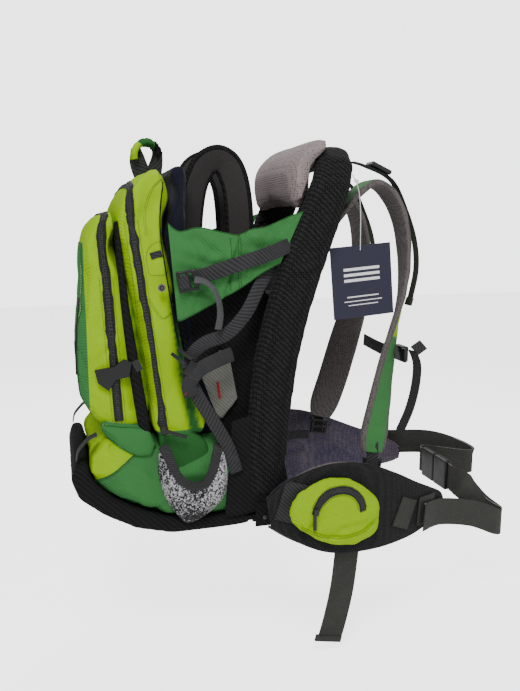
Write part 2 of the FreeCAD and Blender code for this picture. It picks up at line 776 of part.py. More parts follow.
def belt(name, side):
    """Webbing that loops forward from the wing and back into its half of the buckle."""
    points = []
    for (x, out), z in zip(belt_plan, belt_drop[name]):
        points.append(at(x, side * (wing_y + out), z))
    inner = size.buckle_gap / 2
    outer = inner + size.buckle_length
    points.append(at(367, side * (outer + 20), -89))
    points.append(at(367, side * (outer + 0.1), -88))
    webbing = ribbon(points, UP, size.belt_webbing, size.webbing_thickness)
    webbing = webbing.cut(parts["hip_wing_" + name].Shape)
    soft("belt_webbing_" + name, largest(webbing))
    centre = at(367, side * (inner + outer) / 2, -88)
    half = block(centre, size.buckle_length, size.belt_webbing + 10, size.buckle_thickness, along_y=True)
    soft("belt_buckle_" + name, half)


def hanging_strap():
    y = -(wing_y + size.wing_bulge - size.wing_thickness / 2 - 2.5)
    points = [at(92, y, -140), at(82, y, -226), at(70, y, -288), at(56, y, -338)]
    across = V(0.985, 0, -0.17)
    stations = [(p, across, size.tail_webbing, 2.4) for p in points]
    soft("hanging_strap", band(stations))


# ---- swing tag -------------------------------------------------------------

def swing_tag():
    y = -(rail_y - 10.5)
    hole = at(123, y, 388)
    card = Part.makeBox(size.tag_width, size.tag_thickness, size.tag_height,
                        V(-size.tag_width / 2, -size.tag_thickness / 2, -size.tag_height + 8))
    card = card.cut(Part.makeCylinder(size.tag_hole / 2, 4, V(0, -2, 0), V(0, 1, 0)))
    card.rotate(V(0, 0, 0), V(0, 1, 0), -5)
    card.translate(hole)
    soft("swing_tag", card)
    route = [at(104, y, 519), at(112, y - 0.5, 508), at(119, y - 0.8, 486), at(122, y - 0.2, 452),
             at(122.5, y, 420), hole + V(0, 0, -1.2)]
    string = round_bar(route, size.string_dia)
    soft("tag_string", string)


rails_solid = frame_tube()
crossbars(rails_solid)
frame_sleeve(rails_solid, parts["frame_crossbars"])
for side_name, sign in SIDES:
    hinge_bracket("hinge_bracket_" + side_name, sign, rails_solid)
hinge_pins()
kickstand()
back_panel()
lumbar_pad()
head_pad(parts["frame_sleeve"])
daypack()
seat()
zips()
sliders()
haul_loop()
press_snaps()
compression()
base()
side_straps()
load_lifters()
lower_straps()
sternum()
for side_name, sign in SIDES:
    side_panel(side_name, sign)
    child_strap(side_name, sign)
    mesh_pocket(side_name, sign)
    stirrup(side_name, sign)
    shoulder_strap(side_name, sign)
    hip_wing(side_name, sign)
    hip_pocket(side_name, sign)
    hip_slider(side_name, sign)
    belt(side_name, sign)
hanging_strap()
swing_tag()

doc.recompute()
for thing in doc.Objects:
    for flag in ("Invalid", "Error"):
        if flag in thing.State:
            raise RuntimeError(f"{thing.Label} is {flag}")
for label, thing in parts.items():
    if thing.Shape.isNull() or not thing.Shape.isValid():
        raise RuntimeError(f"{label} has no valid shape")
os.makedirs("parts", exist_ok=True)
for label, thing in parts.items():
    thing.Shape.exportStep(f"parts/{label}.step")
print(len(parts), "sub-parts")
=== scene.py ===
import math
import random

import bmesh
import bpy
from mathutils import Matrix, Vector, noise
from mathutils.bvhtree import BVHTree


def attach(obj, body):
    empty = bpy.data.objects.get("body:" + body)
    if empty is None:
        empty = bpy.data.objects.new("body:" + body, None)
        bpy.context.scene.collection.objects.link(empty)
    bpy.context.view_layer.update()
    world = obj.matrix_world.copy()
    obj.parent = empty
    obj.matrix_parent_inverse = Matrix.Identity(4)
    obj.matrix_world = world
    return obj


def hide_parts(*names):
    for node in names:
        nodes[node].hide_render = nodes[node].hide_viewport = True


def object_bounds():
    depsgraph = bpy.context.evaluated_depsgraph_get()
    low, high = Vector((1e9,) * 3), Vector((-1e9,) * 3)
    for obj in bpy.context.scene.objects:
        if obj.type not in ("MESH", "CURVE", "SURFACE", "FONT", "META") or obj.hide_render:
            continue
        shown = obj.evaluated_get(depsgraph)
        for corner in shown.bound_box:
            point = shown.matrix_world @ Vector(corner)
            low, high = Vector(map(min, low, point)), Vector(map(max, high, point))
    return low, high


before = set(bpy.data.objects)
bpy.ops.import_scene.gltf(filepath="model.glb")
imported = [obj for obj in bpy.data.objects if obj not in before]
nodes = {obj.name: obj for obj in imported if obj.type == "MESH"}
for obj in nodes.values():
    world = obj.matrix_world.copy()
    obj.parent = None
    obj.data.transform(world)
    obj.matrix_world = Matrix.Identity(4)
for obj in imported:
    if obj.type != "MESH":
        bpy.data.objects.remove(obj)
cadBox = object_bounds()
mm = 0.001
sides = (("left", 1), ("right", -1))
random.seed(7)


# small tools

def smoothPath(points, count):
    # a smooth line of count places through every point
    knots = [Vector(p) for p in points]
    last = len(knots) - 1
    path = []
    for step in range(count):
        place = step / (count - 1) * last
        index = min(int(place), last - 1)
        t = place - index
        a, b, c, d = (knots[min(max(index + k, 0), last)] for k in (-1, 0, 1, 2))
        path.append(0.5 * (2 * b + (c - a) * t + (2 * a - 5 * b + 4 * c - d) * t * t
                           + (3 * b - a - 3 * c + d) * t ** 3))
    return path


def onSide(side, y, spots, forward=0, up=0):
    # side-view places (x, z) in mm set at y on one side
    return [(x + forward, side * y, z + up) for x, z in spots]


def mirrored(side, spots):
    return [(x, side * y, z) for x, y, z in spots]


def along(path):
    travelled = [0.0]
    for before, after in zip(path, path[1:]):
        travelled.append(travelled[-1] + (after - before).length)
    return travelled


def heading(path, index):
    before = path[max(index - 1, 0)]
    after = path[min(index + 1, len(path) - 1)]
    return (after - before).normalized()


def addPiece(name, bm, material, body=None, replaces=(), smooth=True):
    mesh = bpy.data.meshes.new(name)
    bm.to_mesh(mesh)
    bm.free()
    for face in mesh.polygons:
        face.use_smooth = smooth
    piece = bpy.data.objects.new(name, mesh)
    bpy.context.scene.collection.objects.link(piece)
    if material:
        mesh.materials.append(material)
    if body:
        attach(piece, body)
    if replaces:
        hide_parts(*replaces)
    return piece


def mappedGrid(columns, rows, place, closed=False, spread=(1.0, 1.0), masks=None):
    # a grid whose corners run from 0 to 1 both ways, laid where place(u, v) says
    bm = bmesh.new()
    bmesh.ops.create_grid(bm, x_segments=columns, y_segments=rows, size=0.5)
    uv = bm.loops.layers.uv.new("UVMap")
    layers = [bm.verts.layers.float.new(mask) for mask in masks] if masks else []
    corner = {vert: (vert.co.x + 0.5, vert.co.y + 0.5) for vert in bm.verts}
    for face in bm.faces:
        for loop in face.loops:
            u, v = corner[loop.vert]
            loop[uv].uv = ((u - 0.5) * spread[0], v * spread[1])
    for vert, (u, v) in corner.items():
        vert.co = place(u, v)
        for layer, mask in zip(layers, masks.values() if masks else ()):
            vert[layer] = mask(u, v)
    if closed:
        bmesh.ops.remove_doubles(bm, verts=bm.verts, dist=1e-5)
    return bm


def thicken(piece, thickness, offset=0):
    shell = piece.modifiers.new("thickness", "SOLIDIFY")
    shell.thickness = thickness * mm
    shell.offset = offset


def cubeAt(bm, place, lengths):
    bmesh.ops.create_cube(bm, size=1, matrix=place @ Matrix.Diagonal((*[length * mm for length in lengths], 1)))


def closeEnds(bm):
    rims = [edge for edge in bm.edges if edge.is_boundary]
    if rims:
        bmesh.ops.holes_fill(bm, edges=rims, sides=0)
    bmesh.ops.recalc_face_normals(bm, faces=bm.faces)


def sampled(path, v):
    place = v * (len(path) - 1)
    index = min(int(place), len(path) - 2)
    return path[index].lerp(path[index + 1], place - index)


def tube(name, points, radius, material, body, segments=8, count=None):
    path = smoothPath(points, count or max(len(points) * 6, 12))
    length = along(path)[-1]
    frames = []
    side = None
    for index in range(len(path)):
        ahead = heading(path, index)
        if side is None:
            side = ahead.orthogonal().normalized()
        side = (side - ahead * side.dot(ahead)).normalized()
        frames.append((side.copy(), ahead.cross(side)))

    def place(u, v):
        index = round(v * (len(path) - 1))
        first, second = frames[index]
        turn = 2 * math.pi * u
        return path[index] + (first * math.cos(turn) + second * math.sin(turn)) * radius

    bm = mappedGrid(segments, len(path) - 1, place, True, (2 * math.pi * radius, length))
    closeEnds(bm)
    return addPiece(name, bm, material, body)


def ribbon(name, points, across, width, thickness, material, body, replaces=(), count=None, cup=0.0,
           columns=6):
    # webbing: points in mm, across one direction or one for each point
    path = smoothPath([Vector(p) * mm for p in points], count or len(points) * 8)
    many = isinstance(across, list)
    wide = smoothPath(across, len(path)) if many else [Vector(across)] * len(path)
    length = along(path)[-1]

    def place(u, v):
        index = round(v * (len(path) - 1))
        ahead = heading(path, index)
        edge = (wide[index] - ahead * wide[index].dot(ahead)).normalized()
        out = ahead.cross(edge).normalized()
        a = 2 * u - 1
        return path[index] + edge * (a * width / 2 * mm) + out * (cup * mm * (1 - a * a))

    bm = mappedGrid(columns, len(path) - 1, place, False, (width * mm, length))
    piece = addPiece(name, bm, material, body, replaces)
    thicken(piece, thickness)
    bevel = piece.modifiers.new("edge", "BEVEL")
    bevel.width = 0.35 * thickness * mm
    bevel.segments = 2
    bevel.limit_method = "ANGLE"
    return piece


def padBand(name, stations, material, body, replaces=(), count=60, crown=2.6, edge=0.3, around=32,
            quilt=None, outward=1):
    # stations: centre, width direction, width, thickness, all in mm; quilt gives a rise in mm
    centres = smoothPath([Vector(s[0]) * mm for s in stations], count)
    wide = smoothPath([Vector(s[1]) for s in stations], count)
    sizes = smoothPath([Vector((s[2], s[3], 0)) * mm for s in stations], count)
    length = along(centres)[-1]

    def across(u):
        turn = 2 * math.pi * u
        value = math.cos(turn)
        return math.copysign(abs(value) ** 0.85, value), math.sin(turn)

    def place(u, v):
        index = round(v * (count - 1))
        ahead = heading(centres, index)
        edgeWay = (wide[index] - ahead * wide[index].dot(ahead)).normalized()
        out = ahead.cross(edgeWay).normalized()
        a, turn = across(u)
        full = (edge + (1 - edge) * max(1 - abs(a) ** crown, 0) ** 0.5) * math.copysign(1, turn)
        rise = quilt(a, v, turn * outward) * math.copysign(1, turn) if quilt else 0
        if abs(a) > 0.999:
            full = rise = 0
        return centres[index] + edgeWay * (a * sizes[index].x / 2) + out * (full * sizes[index].y / 2 + rise * mm)

    masks = {"across": lambda u, v: across(u)[0], "face": lambda u, v: across(u)[1] * outward, "run": lambda u, v: v}
    bm = mappedGrid(around, count - 1, place, True, (stations[0][2] * 2 * mm, length), masks)
    closeEnds(bm)
    return addPiece(name, bm, material, body, replaces)


def block(name, centre, lengths, material, body, turn):
    # a moulded piece: a cube drawn to size, its edges rounded by a fifth of its thinnest side
    bm = bmesh.new()
    bmesh.ops.create_cube(bm, size=1.0)
    bmesh.ops.scale(bm, vec=Vector(lengths) * mm, verts=bm.verts)
    bmesh.ops.bevel(bm, geom=bm.edges[:], offset=min(lengths) * 0.2 * mm, offset_type="OFFSET", segments=3,
                    profile=0.5, affect="EDGES", material=-1)
    bmesh.ops.transform(bm, matrix=Matrix.Translation(Vector(centre) * mm) @ turn, verts=bm.verts)
    return addPiece(name, bm, material, body)


def joined(name, pieces, body=None, replaces=()):
    # several finished meshes as one piece, their modifiers applied
    depsgraph = bpy.context.evaluated_depsgraph_get()
    bm = bmesh.new()
    materials = []
    for piece in pieces:
        shown = piece.evaluated_get(depsgraph)
        mesh = bpy.data.meshes.new_from_object(shown)
        for face in mesh.polygons:
            used = mesh.materials[face.material_index]
            if used not in materials:
                materials.append(used)
            face.material_index = materials.index(used)
        bm.from_mesh(mesh)
        bpy.data.meshes.remove(mesh)
    for piece in pieces:
        bpy.data.objects.remove(piece)
    result = addPiece(name, bm, None, body, replaces)
    for material in materials:
        result.data.materials.append(material)
    return result


def turned(degrees, axis):
    return Matrix.Rotation(math.radians(degrees), 4, axis)


# camera, light and floor

view = {"target": (-30, 0, 200), "distance": 1365, "azimuth": -16, "elevation": 9.7, "lens": 36.47}
lamps = (("key", (-0.7, -1.5, 2.0), 0.8, 44), ("fill", (1.5, -1.6, 0.8), 1.6, 7), ("rim", (0.3, 1.6, 1.7), 1.4, 24))
pale = {"sky": (0.42, 3.2), "floor": (0.25, 2.4), "drop": 0.02}  # light given, brightness shown; floor's drop in m


def setStage():
    azimuth = math.radians(view["azimuth"])
    elevation = math.radians(view["elevation"])
    level = math.cos(elevation)
    back = Vector((math.sin(azimuth) * level, -math.cos(azimuth) * level, math.sin(elevation)))
    target = Vector(view["target"]) * mm
    data = bpy.data.cameras.new("camera")
    data.lens = view["lens"]
    camera = bpy.data.objects.new("camera", data)
    camera.location = target + back * view["distance"] * mm
    camera.rotation_euler = (-back).to_track_quat("-Z", "Y").to_euler()
    bpy.context.scene.collection.objects.link(camera)
    bpy.context.scene.camera = camera
    world = bpy.data.worlds.new("studio")
    world.use_nodes = True
    sky = world.node_tree.nodes["Background"]
    sky.inputs["Color"].default_value = (1, 1, 1, 1)
    shownStrength(world.node_tree, sky.inputs["Strength"], *pale["sky"])
    bpy.context.scene.world = world
    for name, place, size, power in lamps:
        data = bpy.data.lights.new(name, "AREA")
        data.size = size
        data.energy = power
        lamp = bpy.data.objects.new(name, data)
        lamp.location = place
        lamp.rotation_euler = (target - lamp.location).to_track_quat("-Z", "Y").to_euler()
        bpy.context.scene.collection.objects.link(lamp)
    bm = bmesh.new()
    bmesh.ops.create_grid(bm, x_segments=8, y_segments=8, size=6)
    bmesh.ops.translate(bm, vec=(0, 0, cadBox[0][2] - pale["drop"]), verts=bm.verts)
    floor = addPiece("floor", bm, plainFloor())


def shownStrength(tree, socket, lighting, shown):
    # one strength for the light it gives, another for how bright it looks
    rays = tree.nodes.new("ShaderNodeLightPath")
    mix = tree.nodes.new("ShaderNodeMapRange")
    mix.inputs["To Min"].default_value = lighting
    mix.inputs["To Max"].default_value = shown
    tree.links.new(rays.outputs["Is Camera Ray"], mix.inputs["Value"])
    tree.links.new(mix.outputs[0], socket)


def plainFloor():
    material = bpy.data.materials.new("paleFloor")
    material.use_nodes = True
    shader = material.node_tree.nodes["Principled BSDF"]
    shader.inputs["Base Color"].default_value = (0.95, 0.95, 0.95, 1)
    shader.inputs["Roughness"].default_value = 0.9
    shader.inputs["Emission Color"].default_value = (1, 1, 1, 1)
    shownStrength(material.node_tree, shader.inputs["Emission Strength"], *pale["floor"])
    return material


# cloth colours, light thread and dark thread

lime, limeDark = (0.34, 0.58, 0.0), (0.22, 0.42, 0.0)
green, greenDark = (0.055, 0.22, 0.06), (0.03, 0.14, 0.04)
forest, forestDark = (0.03, 0.14, 0.035), (0.014, 0.08, 0.018)
navy, navyDark = (0.014, 0.015, 0.028), (0.006, 0.006, 0.012)
spacer, spacerHole = (0.115, 0.10, 0.098), (0.012, 0.011, 0.011)
bumpDepth = 0.0012  # metres that a full bump of cloth stands up


# shared effects, each a node group

def newGroup(name, numbers, outputs):
    # an effect on a place: its Vector, its numbers with their defaults, and the values it gives
    tree = bpy.data.node_groups.new(name, "ShaderNodeTree")
    tree.interface.new_socket(name="Vector", in_out="INPUT", socket_type="NodeSocketVector")
    for label, value in numbers.items():
        socket = tree.interface.new_socket(name=label, in_out="INPUT", socket_type="NodeSocketFloat")
        socket.default_value = value
    for label in outputs:
        tree.interface.new_socket(name=label, in_out="OUTPUT", socket_type="NodeSocketFloat")
    return tree, tree.nodes.new("NodeGroupInput"), tree.nodes.new("NodeGroupOutput")


def reckon(tree, operation, first, second=0.0):
    node = tree.nodes.new("ShaderNodeMath")
    node.operation = operation
    for socket, value in zip(node.inputs, (first, second)):
        if isinstance(value, (int, float)):
            socket.default_value = value
        else:
            tree.links.new(value, socket)
    return node.outputs[0]


def times(tree, first, second):
    return reckon(tree, "MULTIPLY", first, second)


def plus(tree, first, second):
    return reckon(tree, "ADD", first, second)


def opposite(tree, value):
    return reckon(tree, "SUBTRACT", 1, value)


def blendColours(tree, share, first, second):
    node = tree.nodes.new("ShaderNodeMix")
    node.data_type = "RGBA"
    for socket, value in ((node.inputs[0], share), (node.inputs[6], first), (node.inputs[7], second)):
        if isinstance(value, (int, float)):
            socket.default_value = value
        elif isinstance(value, tuple):
            socket.default_value = (*value, 1)
        else:
            tree.links.new(value, socket)
    return node.outputs[2]


def between(tree, value, low, high):
    node = tree.nodes.new("ShaderNodeMapRange")
    tree.links.new(value, node.inputs[0])
    node.inputs[1].default_value = low
    node.inputs[2].default_value = high
    return node.outputs[0]


def noiseTexture(tree, vector, **values):
    node = tree.nodes.new("ShaderNodeTexNoise")
    tree.links.new(vector, node.inputs["Vector"])
    for label, value in values.items():
        node.inputs[label].default_value = value
    return node


def twillWeave():
    # slanting ribs with a finer crossing thread
    tree, start, end = newGroup("twillWeave", {"Ribs": 36.0}, ("Pattern", "Height"))
    waves = []
    for flip, scale in ((1, 1.0), (-1, 1.9)):
        mapping = tree.nodes.new("ShaderNodeMapping")
        mapping.inputs["Scale"].default_value = (flip, 0.8, 1)
        tree.links.new(start.outputs["Vector"], mapping.inputs["Vector"])
        wave = tree.nodes.new("ShaderNodeTexWave")
        wave.bands_direction = "DIAGONAL"
        wave.inputs["Distortion"].default_value = 0.6
        wave.inputs["Detail"].default_value = 1
        wave.inputs["Detail Scale"].default_value = 2
        tree.links.new(mapping.outputs[0], wave.inputs["Vector"])
        tree.links.new(times(tree, start.outputs["Ribs"], scale), wave.inputs["Scale"])
        waves.append(wave.outputs["Fac"])
    both = plus(tree, times(tree, waves[0], 0.65), times(tree, waves[1], 0.35))
    tree.links.new(both, end.inputs["Pattern"])
    tree.links.new(both, end.inputs["Height"])
    return tree


def wornCloth():
    # slow changes of shade, small puckers, and dust on the threads
    tree, start, end = newGroup("wornCloth", {"Size": 14.0}, ("Shade", "Pucker"))
    broad = noiseTexture(tree, start.outputs["Vector"], Detail=4, Distortion=0.8)
    tree.links.new(start.outputs["Size"], broad.inputs["Scale"])
    fine = noiseTexture(tree, start.outputs["Vector"], Detail=6)
    tree.links.new(times(tree, start.outputs["Size"], 9), fine.inputs["Scale"])
    shade = plus(tree, times(tree, broad.outputs["Fac"], 0.6), times(tree, fine.outputs["Fac"], 0.4))
    tree.links.new(between(tree, shade, 0.3, 0.7), end.inputs["Shade"])
    tree.links.new(broad.outputs["Fac"], end.inputs["Pucker"])
    return tree


def spacerMesh():
    # a knit of small round holes
    tree, start, end = newGroup("spacerMesh", {"Cells": 260.0, "Hole": 0.3}, ("Hole", "Height"))
    cells = tree.nodes.new("ShaderNodeTexVoronoi")
    cells.inputs["Randomness"].default_value = 0.35
    tree.links.new(start.outputs["Vector"], cells.inputs["Vector"])
    tree.links.new(start.outputs["Cells"], cells.inputs["Scale"])
    hole = reckon(tree, "LESS_THAN", cells.outputs["Distance"], start.outputs["Hole"])
    tree.links.new(hole, end.inputs["Hole"])
    tree.links.new(reckon(tree, "MINIMUM", cells.outputs["Distance"], 0.6), end.inputs["Height"])
    return tree


def webbingWeave():
    # ribs square to the webbing's run and close warp threads, read from the UV map in metres
    tree, start, end = newGroup("webbingWeave", {"Pitch": 2.2}, ("Pattern", "Height"))
    parts = tree.nodes.new("ShaderNodeSeparateXYZ")
    tree.links.new(start.outputs["Vector"], parts.inputs[0])
    pitch = reckon(tree, "DIVIDE", 6283.2, start.outputs["Pitch"])
    slant = plus(tree, parts.outputs[1], times(tree, parts.outputs[0], 0.55))
    ribs = reckon(tree, "SINE", times(tree, slant, pitch))
    warp = reckon(tree, "SINE", times(tree, parts.outputs[0], 4200))
    both = plus(tree, times(tree, ribs, 0.36), times(tree, warp, 0.14))
    both = plus(tree, both, 0.5)
    tree.links.new(both, end.inputs["Pattern"])
    tree.links.new(both, end.inputs["Height"])
    return tree


groups = {"twill": twillWeave(), "worn": wornCloth(), "mesh": spacerMesh(), "webbing": webbingWeave()}


def placeGroup(tree, key, vector, **values):
    node = tree.nodes.new("ShaderNodeGroup")
    node.node_tree = groups[key]
    tree.links.new(vector, node.inputs["Vector"])
    for label, value in values.items():
        node.inputs[label].default_value = value
    return node


def newMaterial(name, rough, sheen=0.0, metallic=0.0, specular=0.5):
    material = bpy.data.materials.new(name)
    material.use_nodes = True
    tree = material.node_tree
    shader = tree.nodes["Principled BSDF"]
    shader.inputs["Roughness"].default_value = rough
    shader.inputs["Metallic"].default_value = metallic
    shader.inputs["Sheen Weight"].default_value = sheen
    shader.inputs["Sheen Roughness"].default_value = 0.45
    shader.inputs["Specular IOR Level"].default_value = specular
    coords = tree.nodes.new("ShaderNodeTexCoord")
    return material, tree, shader, coords


def paler(colour, factor, lift=0.0):
    return tuple(min(c * factor + lift, 1) for c in colour)


def addBump(tree, shader, heights, distance=bumpDepth):
    # heights: pairs of a height socket and its strength
    normal = None
    for height, strength in heights:
        bump = tree.nodes.new("ShaderNodeBump")
        bump.inputs["Strength"].default_value = strength
        bump.inputs["Distance"].default_value = distance
        tree.links.new(height, bump.inputs["Height"])
        if normal:
            tree.links.new(normal, bump.inputs["Normal"])
        normal = bump.outputs[0]
    tree.links.new(normal, shader.inputs["Normal"])


def variedRough(tree, shader, value, amount, low):
    tree.links.new(plus(tree, times(tree, value, amount), low), shader.inputs["Roughness"])


def readMask(tree, name):
    node = tree.nodes.new("ShaderNodeAttribute")
    node.attribute_name = name
    return node.outputs["Fac"]


def clothMaterial(name, colour, dark, rough=0.8, sheen=0.0, ribs=130.0, zones=(), strength=0.4, fold=None):
    # zones: colour, dark colour and planes (normal, offset in mm) that bound it; fold: colours of painted shade laid
    # into a pressed fold
    material, tree, shader, coords = newMaterial(name, rough, sheen, specular=0.1)
    vector = coords.outputs["Object"]
    twill = placeGroup(tree, "twill", vector, Ribs=ribs)
    worn = placeGroup(tree, "worn", vector)
    light, deep = colour, dark
    for zoneColour, zoneDark, planes in zones:
        share = None
        for normal, offset in planes:
            dot = tree.nodes.new("ShaderNodeVectorMath")
            dot.operation = "DOT_PRODUCT"
            dot.inputs[1].default_value = normal
            tree.links.new(vector, dot.inputs[0])
            mask = between(tree, dot.outputs["Value"], (offset - 0.4) * mm, (offset + 0.4) * mm)
            share = mask if share is None else times(tree, share, mask)
        light = blendColours(tree, share, light, zoneColour)
        deep = blendColours(tree, share, deep, zoneDark)
    if fold:
        # painted shade: the pressed fold's mask darkens the cloth to the fold colours
        light = blendColours(tree, readMask(tree, "fold"), light, fold[0])
        deep = blendColours(tree, readMask(tree, "fold"), deep, fold[1])
        light = blendColours(tree, readMask(tree, "front"), light, navy)
        deep = blendColours(tree, readMask(tree, "front"), deep, navyDark)
    woven = blendColours(tree, twill.outputs["Pattern"], deep, light)
    shaded = blendColours(tree, times(tree, worn.outputs["Shade"], 0.35), woven, light)
    tree.links.new(shaded, shader.inputs["Base Color"])
    variedRough(tree, shader, worn.outputs["Shade"], 0.12, rough - 0.06)
    addBump(tree, shader, [(worn.outputs["Pucker"], 0.5), (twill.outputs["Height"], strength)])
    return material


def meshMaterial(name, colour, hole, cells=260.0, size=0.34, ribs=None):
    material, tree, shader, coords = newMaterial(name, 0.85, 0.03, specular=0.12)
    vector = coords.outputs["Object"]
    net = placeGroup(tree, "mesh", vector, Cells=cells, Hole=size)
    worn = placeGroup(tree, "worn", vector, Size=10.0)
    light = blendColours(tree, times(tree, worn.outputs["Shade"], 0.4), colour, paler(colour, 1.5))
    heights = [(net.outputs["Height"], 0.8)]
    if ribs:
        twill = placeGroup(tree, "twill", vector, Ribs=ribs)
        light = blendColours(tree, twill.outputs["Pattern"], hole, light)
        heights.append((twill.outputs["Height"], 0.7))
    tree.links.new(blendColours(tree, net.outputs["Hole"], light, hole), shader.inputs["Base Color"])
    addBump(tree, shader, heights)
    return material


def webbingMaterial(name, colour, dark, pitch):
    material, tree, shader, coords = newMaterial(name, 0.75, 0.02, specular=0.25)
    vector = coords.outputs["UV"]
    weave = placeGroup(tree, "webbing", vector, Pitch=pitch)
    worn = placeGroup(tree, "worn", coords.outputs["Object"], Size=30.0)
    woven = blendColours(tree, weave.outputs["Pattern"], dark, colour)
    rubbed = blendColours(tree, times(tree, worn.outputs["Shade"], 0.3), woven, paler(colour, 1.5))
    tree.links.new(rubbed, shader.inputs["Base Color"])
    addBump(tree, shader, [(weave.outputs["Height"], 0.8)], 0.0008)
    return material


def mouldedMaterial(name, colour, rough=0.42):
    material, tree, shader, coords = newMaterial(name, rough, specular=0.5)
    grain = noiseTexture(tree, coords.outputs["Object"], Scale=900)
    worn = placeGroup(tree, "worn", coords.outputs["Object"], Size=40.0)
    rubbed = blendColours(tree, times(tree, worn.outputs["Shade"], 0.3), colour, paler(colour, 1.9, 0.004))
    tree.links.new(rubbed, shader.inputs["Base Color"])
    variedRough(tree, shader, worn.outputs["Shade"], 0.25, rough - 0.1)
    addBump(tree, shader, [(grain.outputs["Fac"], 0.15)], 0.0004)
    return material


def metalMaterial(name, colour, rough=0.3):
    material, tree, shader, coords = newMaterial(name, rough, metallic=1.0)
    mapping = tree.nodes.new("ShaderNodeMapping")
    mapping.inputs["Scale"].default_value = (1, 1, 0.06)
    tree.links.new(coords.outputs["Object"], mapping.inputs["Vector"])
    brushed = noiseTexture(tree, mapping.outputs[0], Scale=500)
    dark = tuple(c * 0.7 for c in colour)
    tree.links.new(blendColours(tree, brushed.outputs["Fac"], dark, colour), shader.inputs["Base Color"])
    variedRough(tree, shader, brushed.outputs["Fac"], 0.2, rough - 0.1)
    addBump(tree, shader, [(brushed.outputs["Fac"], 0.1)], 0.0003)
    return material


def zipMaterial():
    # woven tape with a coil down its middle, read from the UV map in metres
    material, tree, shader, coords = newMaterial("zipCoil", 0.55, 0.02, specular=0.3)
    parts = tree.nodes.new("ShaderNodeSeparateXYZ")
    tree.links.new(coords.outputs["UV"], parts.inputs[0])
    teeth = reckon(tree, "SINE", times(tree, parts.outputs[1], 6283.2 / 3.0))
    middle = reckon(tree, "ABSOLUTE", parts.outputs[0])
    onCoil = opposite(tree, between(tree, middle, 3.4 * mm, 3.9 * mm))
    gap = times(tree, between(tree, teeth, -0.2, 0.5), onCoil)
    weave = reckon(tree, "SINE", times(tree, parts.outputs[0], 5200))
    tape = blendColours(tree, between(tree, weave, -1, 1), (0.006, 0.006, 0.0065), (0.02, 0.02, 0.022))
    coil = blendColours(tree, gap, (0.003, 0.003, 0.003), (0.06, 0.06, 0.063))
    tree.links.new(blendColours(tree, onCoil, tape, coil), shader.inputs["Base Color"])
    height = plus(tree, gap, times(tree, between(tree, weave, -1, 1), 0.2))
    addBump(tree, shader, [(height, 0.9)])
    return material


def strapMaterial():
    # the shoulder strap's outside is green, lime, then green again; its inside and edges are spacer mesh
    material, tree, shader, coords = newMaterial("strapPanels", 0.8, 0.02, specular=0.2)
    vector = coords.outputs["Object"]
    reads = {mask: readMask(tree, mask) for mask in ("across", "face", "run")}
    twill = placeGroup(tree, "twill", vector, Ribs=130.0)
    worn = placeGroup(tree, "worn", vector)
    net = placeGroup(tree, "mesh", vector, Cells=330.0, Hole=0.3)
    upper = between(tree, reads["run"], 0.415, 0.42)
    lower = opposite(tree, between(tree, reads["run"], 0.69, 0.695))
    middle = times(tree, upper, lower)
    light = blendColours(tree, middle, green, lime)
    deep = blendColours(tree, middle, greenDark, limeDark)
    cloth = blendColours(tree, twill.outputs["Pattern"], deep, light)
    cloth = blendColours(tree, times(tree, worn.outputs["Shade"], 0.35), cloth, light)
    netColour = blendColours(tree, net.outputs["Hole"], spacer, spacerHole)
    edge = between(tree, reckon(tree, "ABSOLUTE", reads["across"]), 0.72, 0.74)
    inside = opposite(tree, between(tree, reads["face"], -0.05, 0.05))
    isNet = reckon(tree, "MAXIMUM", edge, inside)
    tree.links.new(blendColours(tree, isNet, cloth, netColour), shader.inputs["Base Color"])
    height = plus(tree, times(tree, twill.outputs["Height"], 0.5),
                  times(tree, net.outputs["Height"], isNet))
    addBump(tree, shader, [(worn.outputs["Pucker"], 0.5), (height, 0.6)])
    return material


def wingMaterial():
    # black spacer mesh outside, violet-grey spacer mesh towards the wearer
    material, tree, shader, coords = newMaterial("wingPanels", 0.85, 0.02, specular=0.12)
    net = placeGroup(tree, "mesh", coords.outputs["Object"], Cells=290.0, Hole=0.33)
    worn = placeGroup(tree, "worn", coords.outputs["Object"], Size=12.0)
    outside = between(tree, readMask(tree, "face"), -0.12, 0.02)
    tint = blendColours(tree, worn.outputs["Shade"], (0.045, 0.042, 0.085), (0.15, 0.125, 0.145))
    light = blendColours(tree, outside, tint, (0.02, 0.02, 0.021))
    hole = blendColours(tree, outside, (0.03, 0.027, 0.04), (0.004, 0.004, 0.004))
    tree.links.new(blendColours(tree, net.outputs["Hole"], light, hole), shader.inputs["Base Color"])
    addBump(tree, shader, [(net.outputs["Height"], 0.8)])
    return material


def speckledMaterial():
    # open net knitted from black and white threads
    material, tree, shader, coords = newMaterial("speckledNet", 0.8, 0.02, specular=0.2)
    cells = tree.nodes.new("ShaderNodeTexVoronoi")
    cells.inputs["Scale"].default_value = 420
    tree.links.new(coords.outputs["Object"], cells.inputs["Vector"])
    patches = noiseTexture(tree, coords.outputs["Object"], Scale=300, Detail=5, Roughness=0.7)
    broad = noiseTexture(tree, coords.outputs["Object"], Scale=18)
    white = plus(tree, patches.outputs["Fac"], times(tree, broad.outputs["Fac"], 0.35))
    white = between(tree, white, 0.66, 0.74)
    base = blendColours(tree, white, (0.012, 0.012, 0.014), (0.5, 0.49, 0.51))
    hole = reckon(tree, "LESS_THAN", cells.outputs["Distance"], 0.22)
    tree.links.new(blendColours(tree, hole, base, (0.006, 0.006, 0.006)), shader.inputs["Base Color"])
    addBump(tree, shader, [(cells.outputs["Distance"], 0.7)], 0.001)
    return material


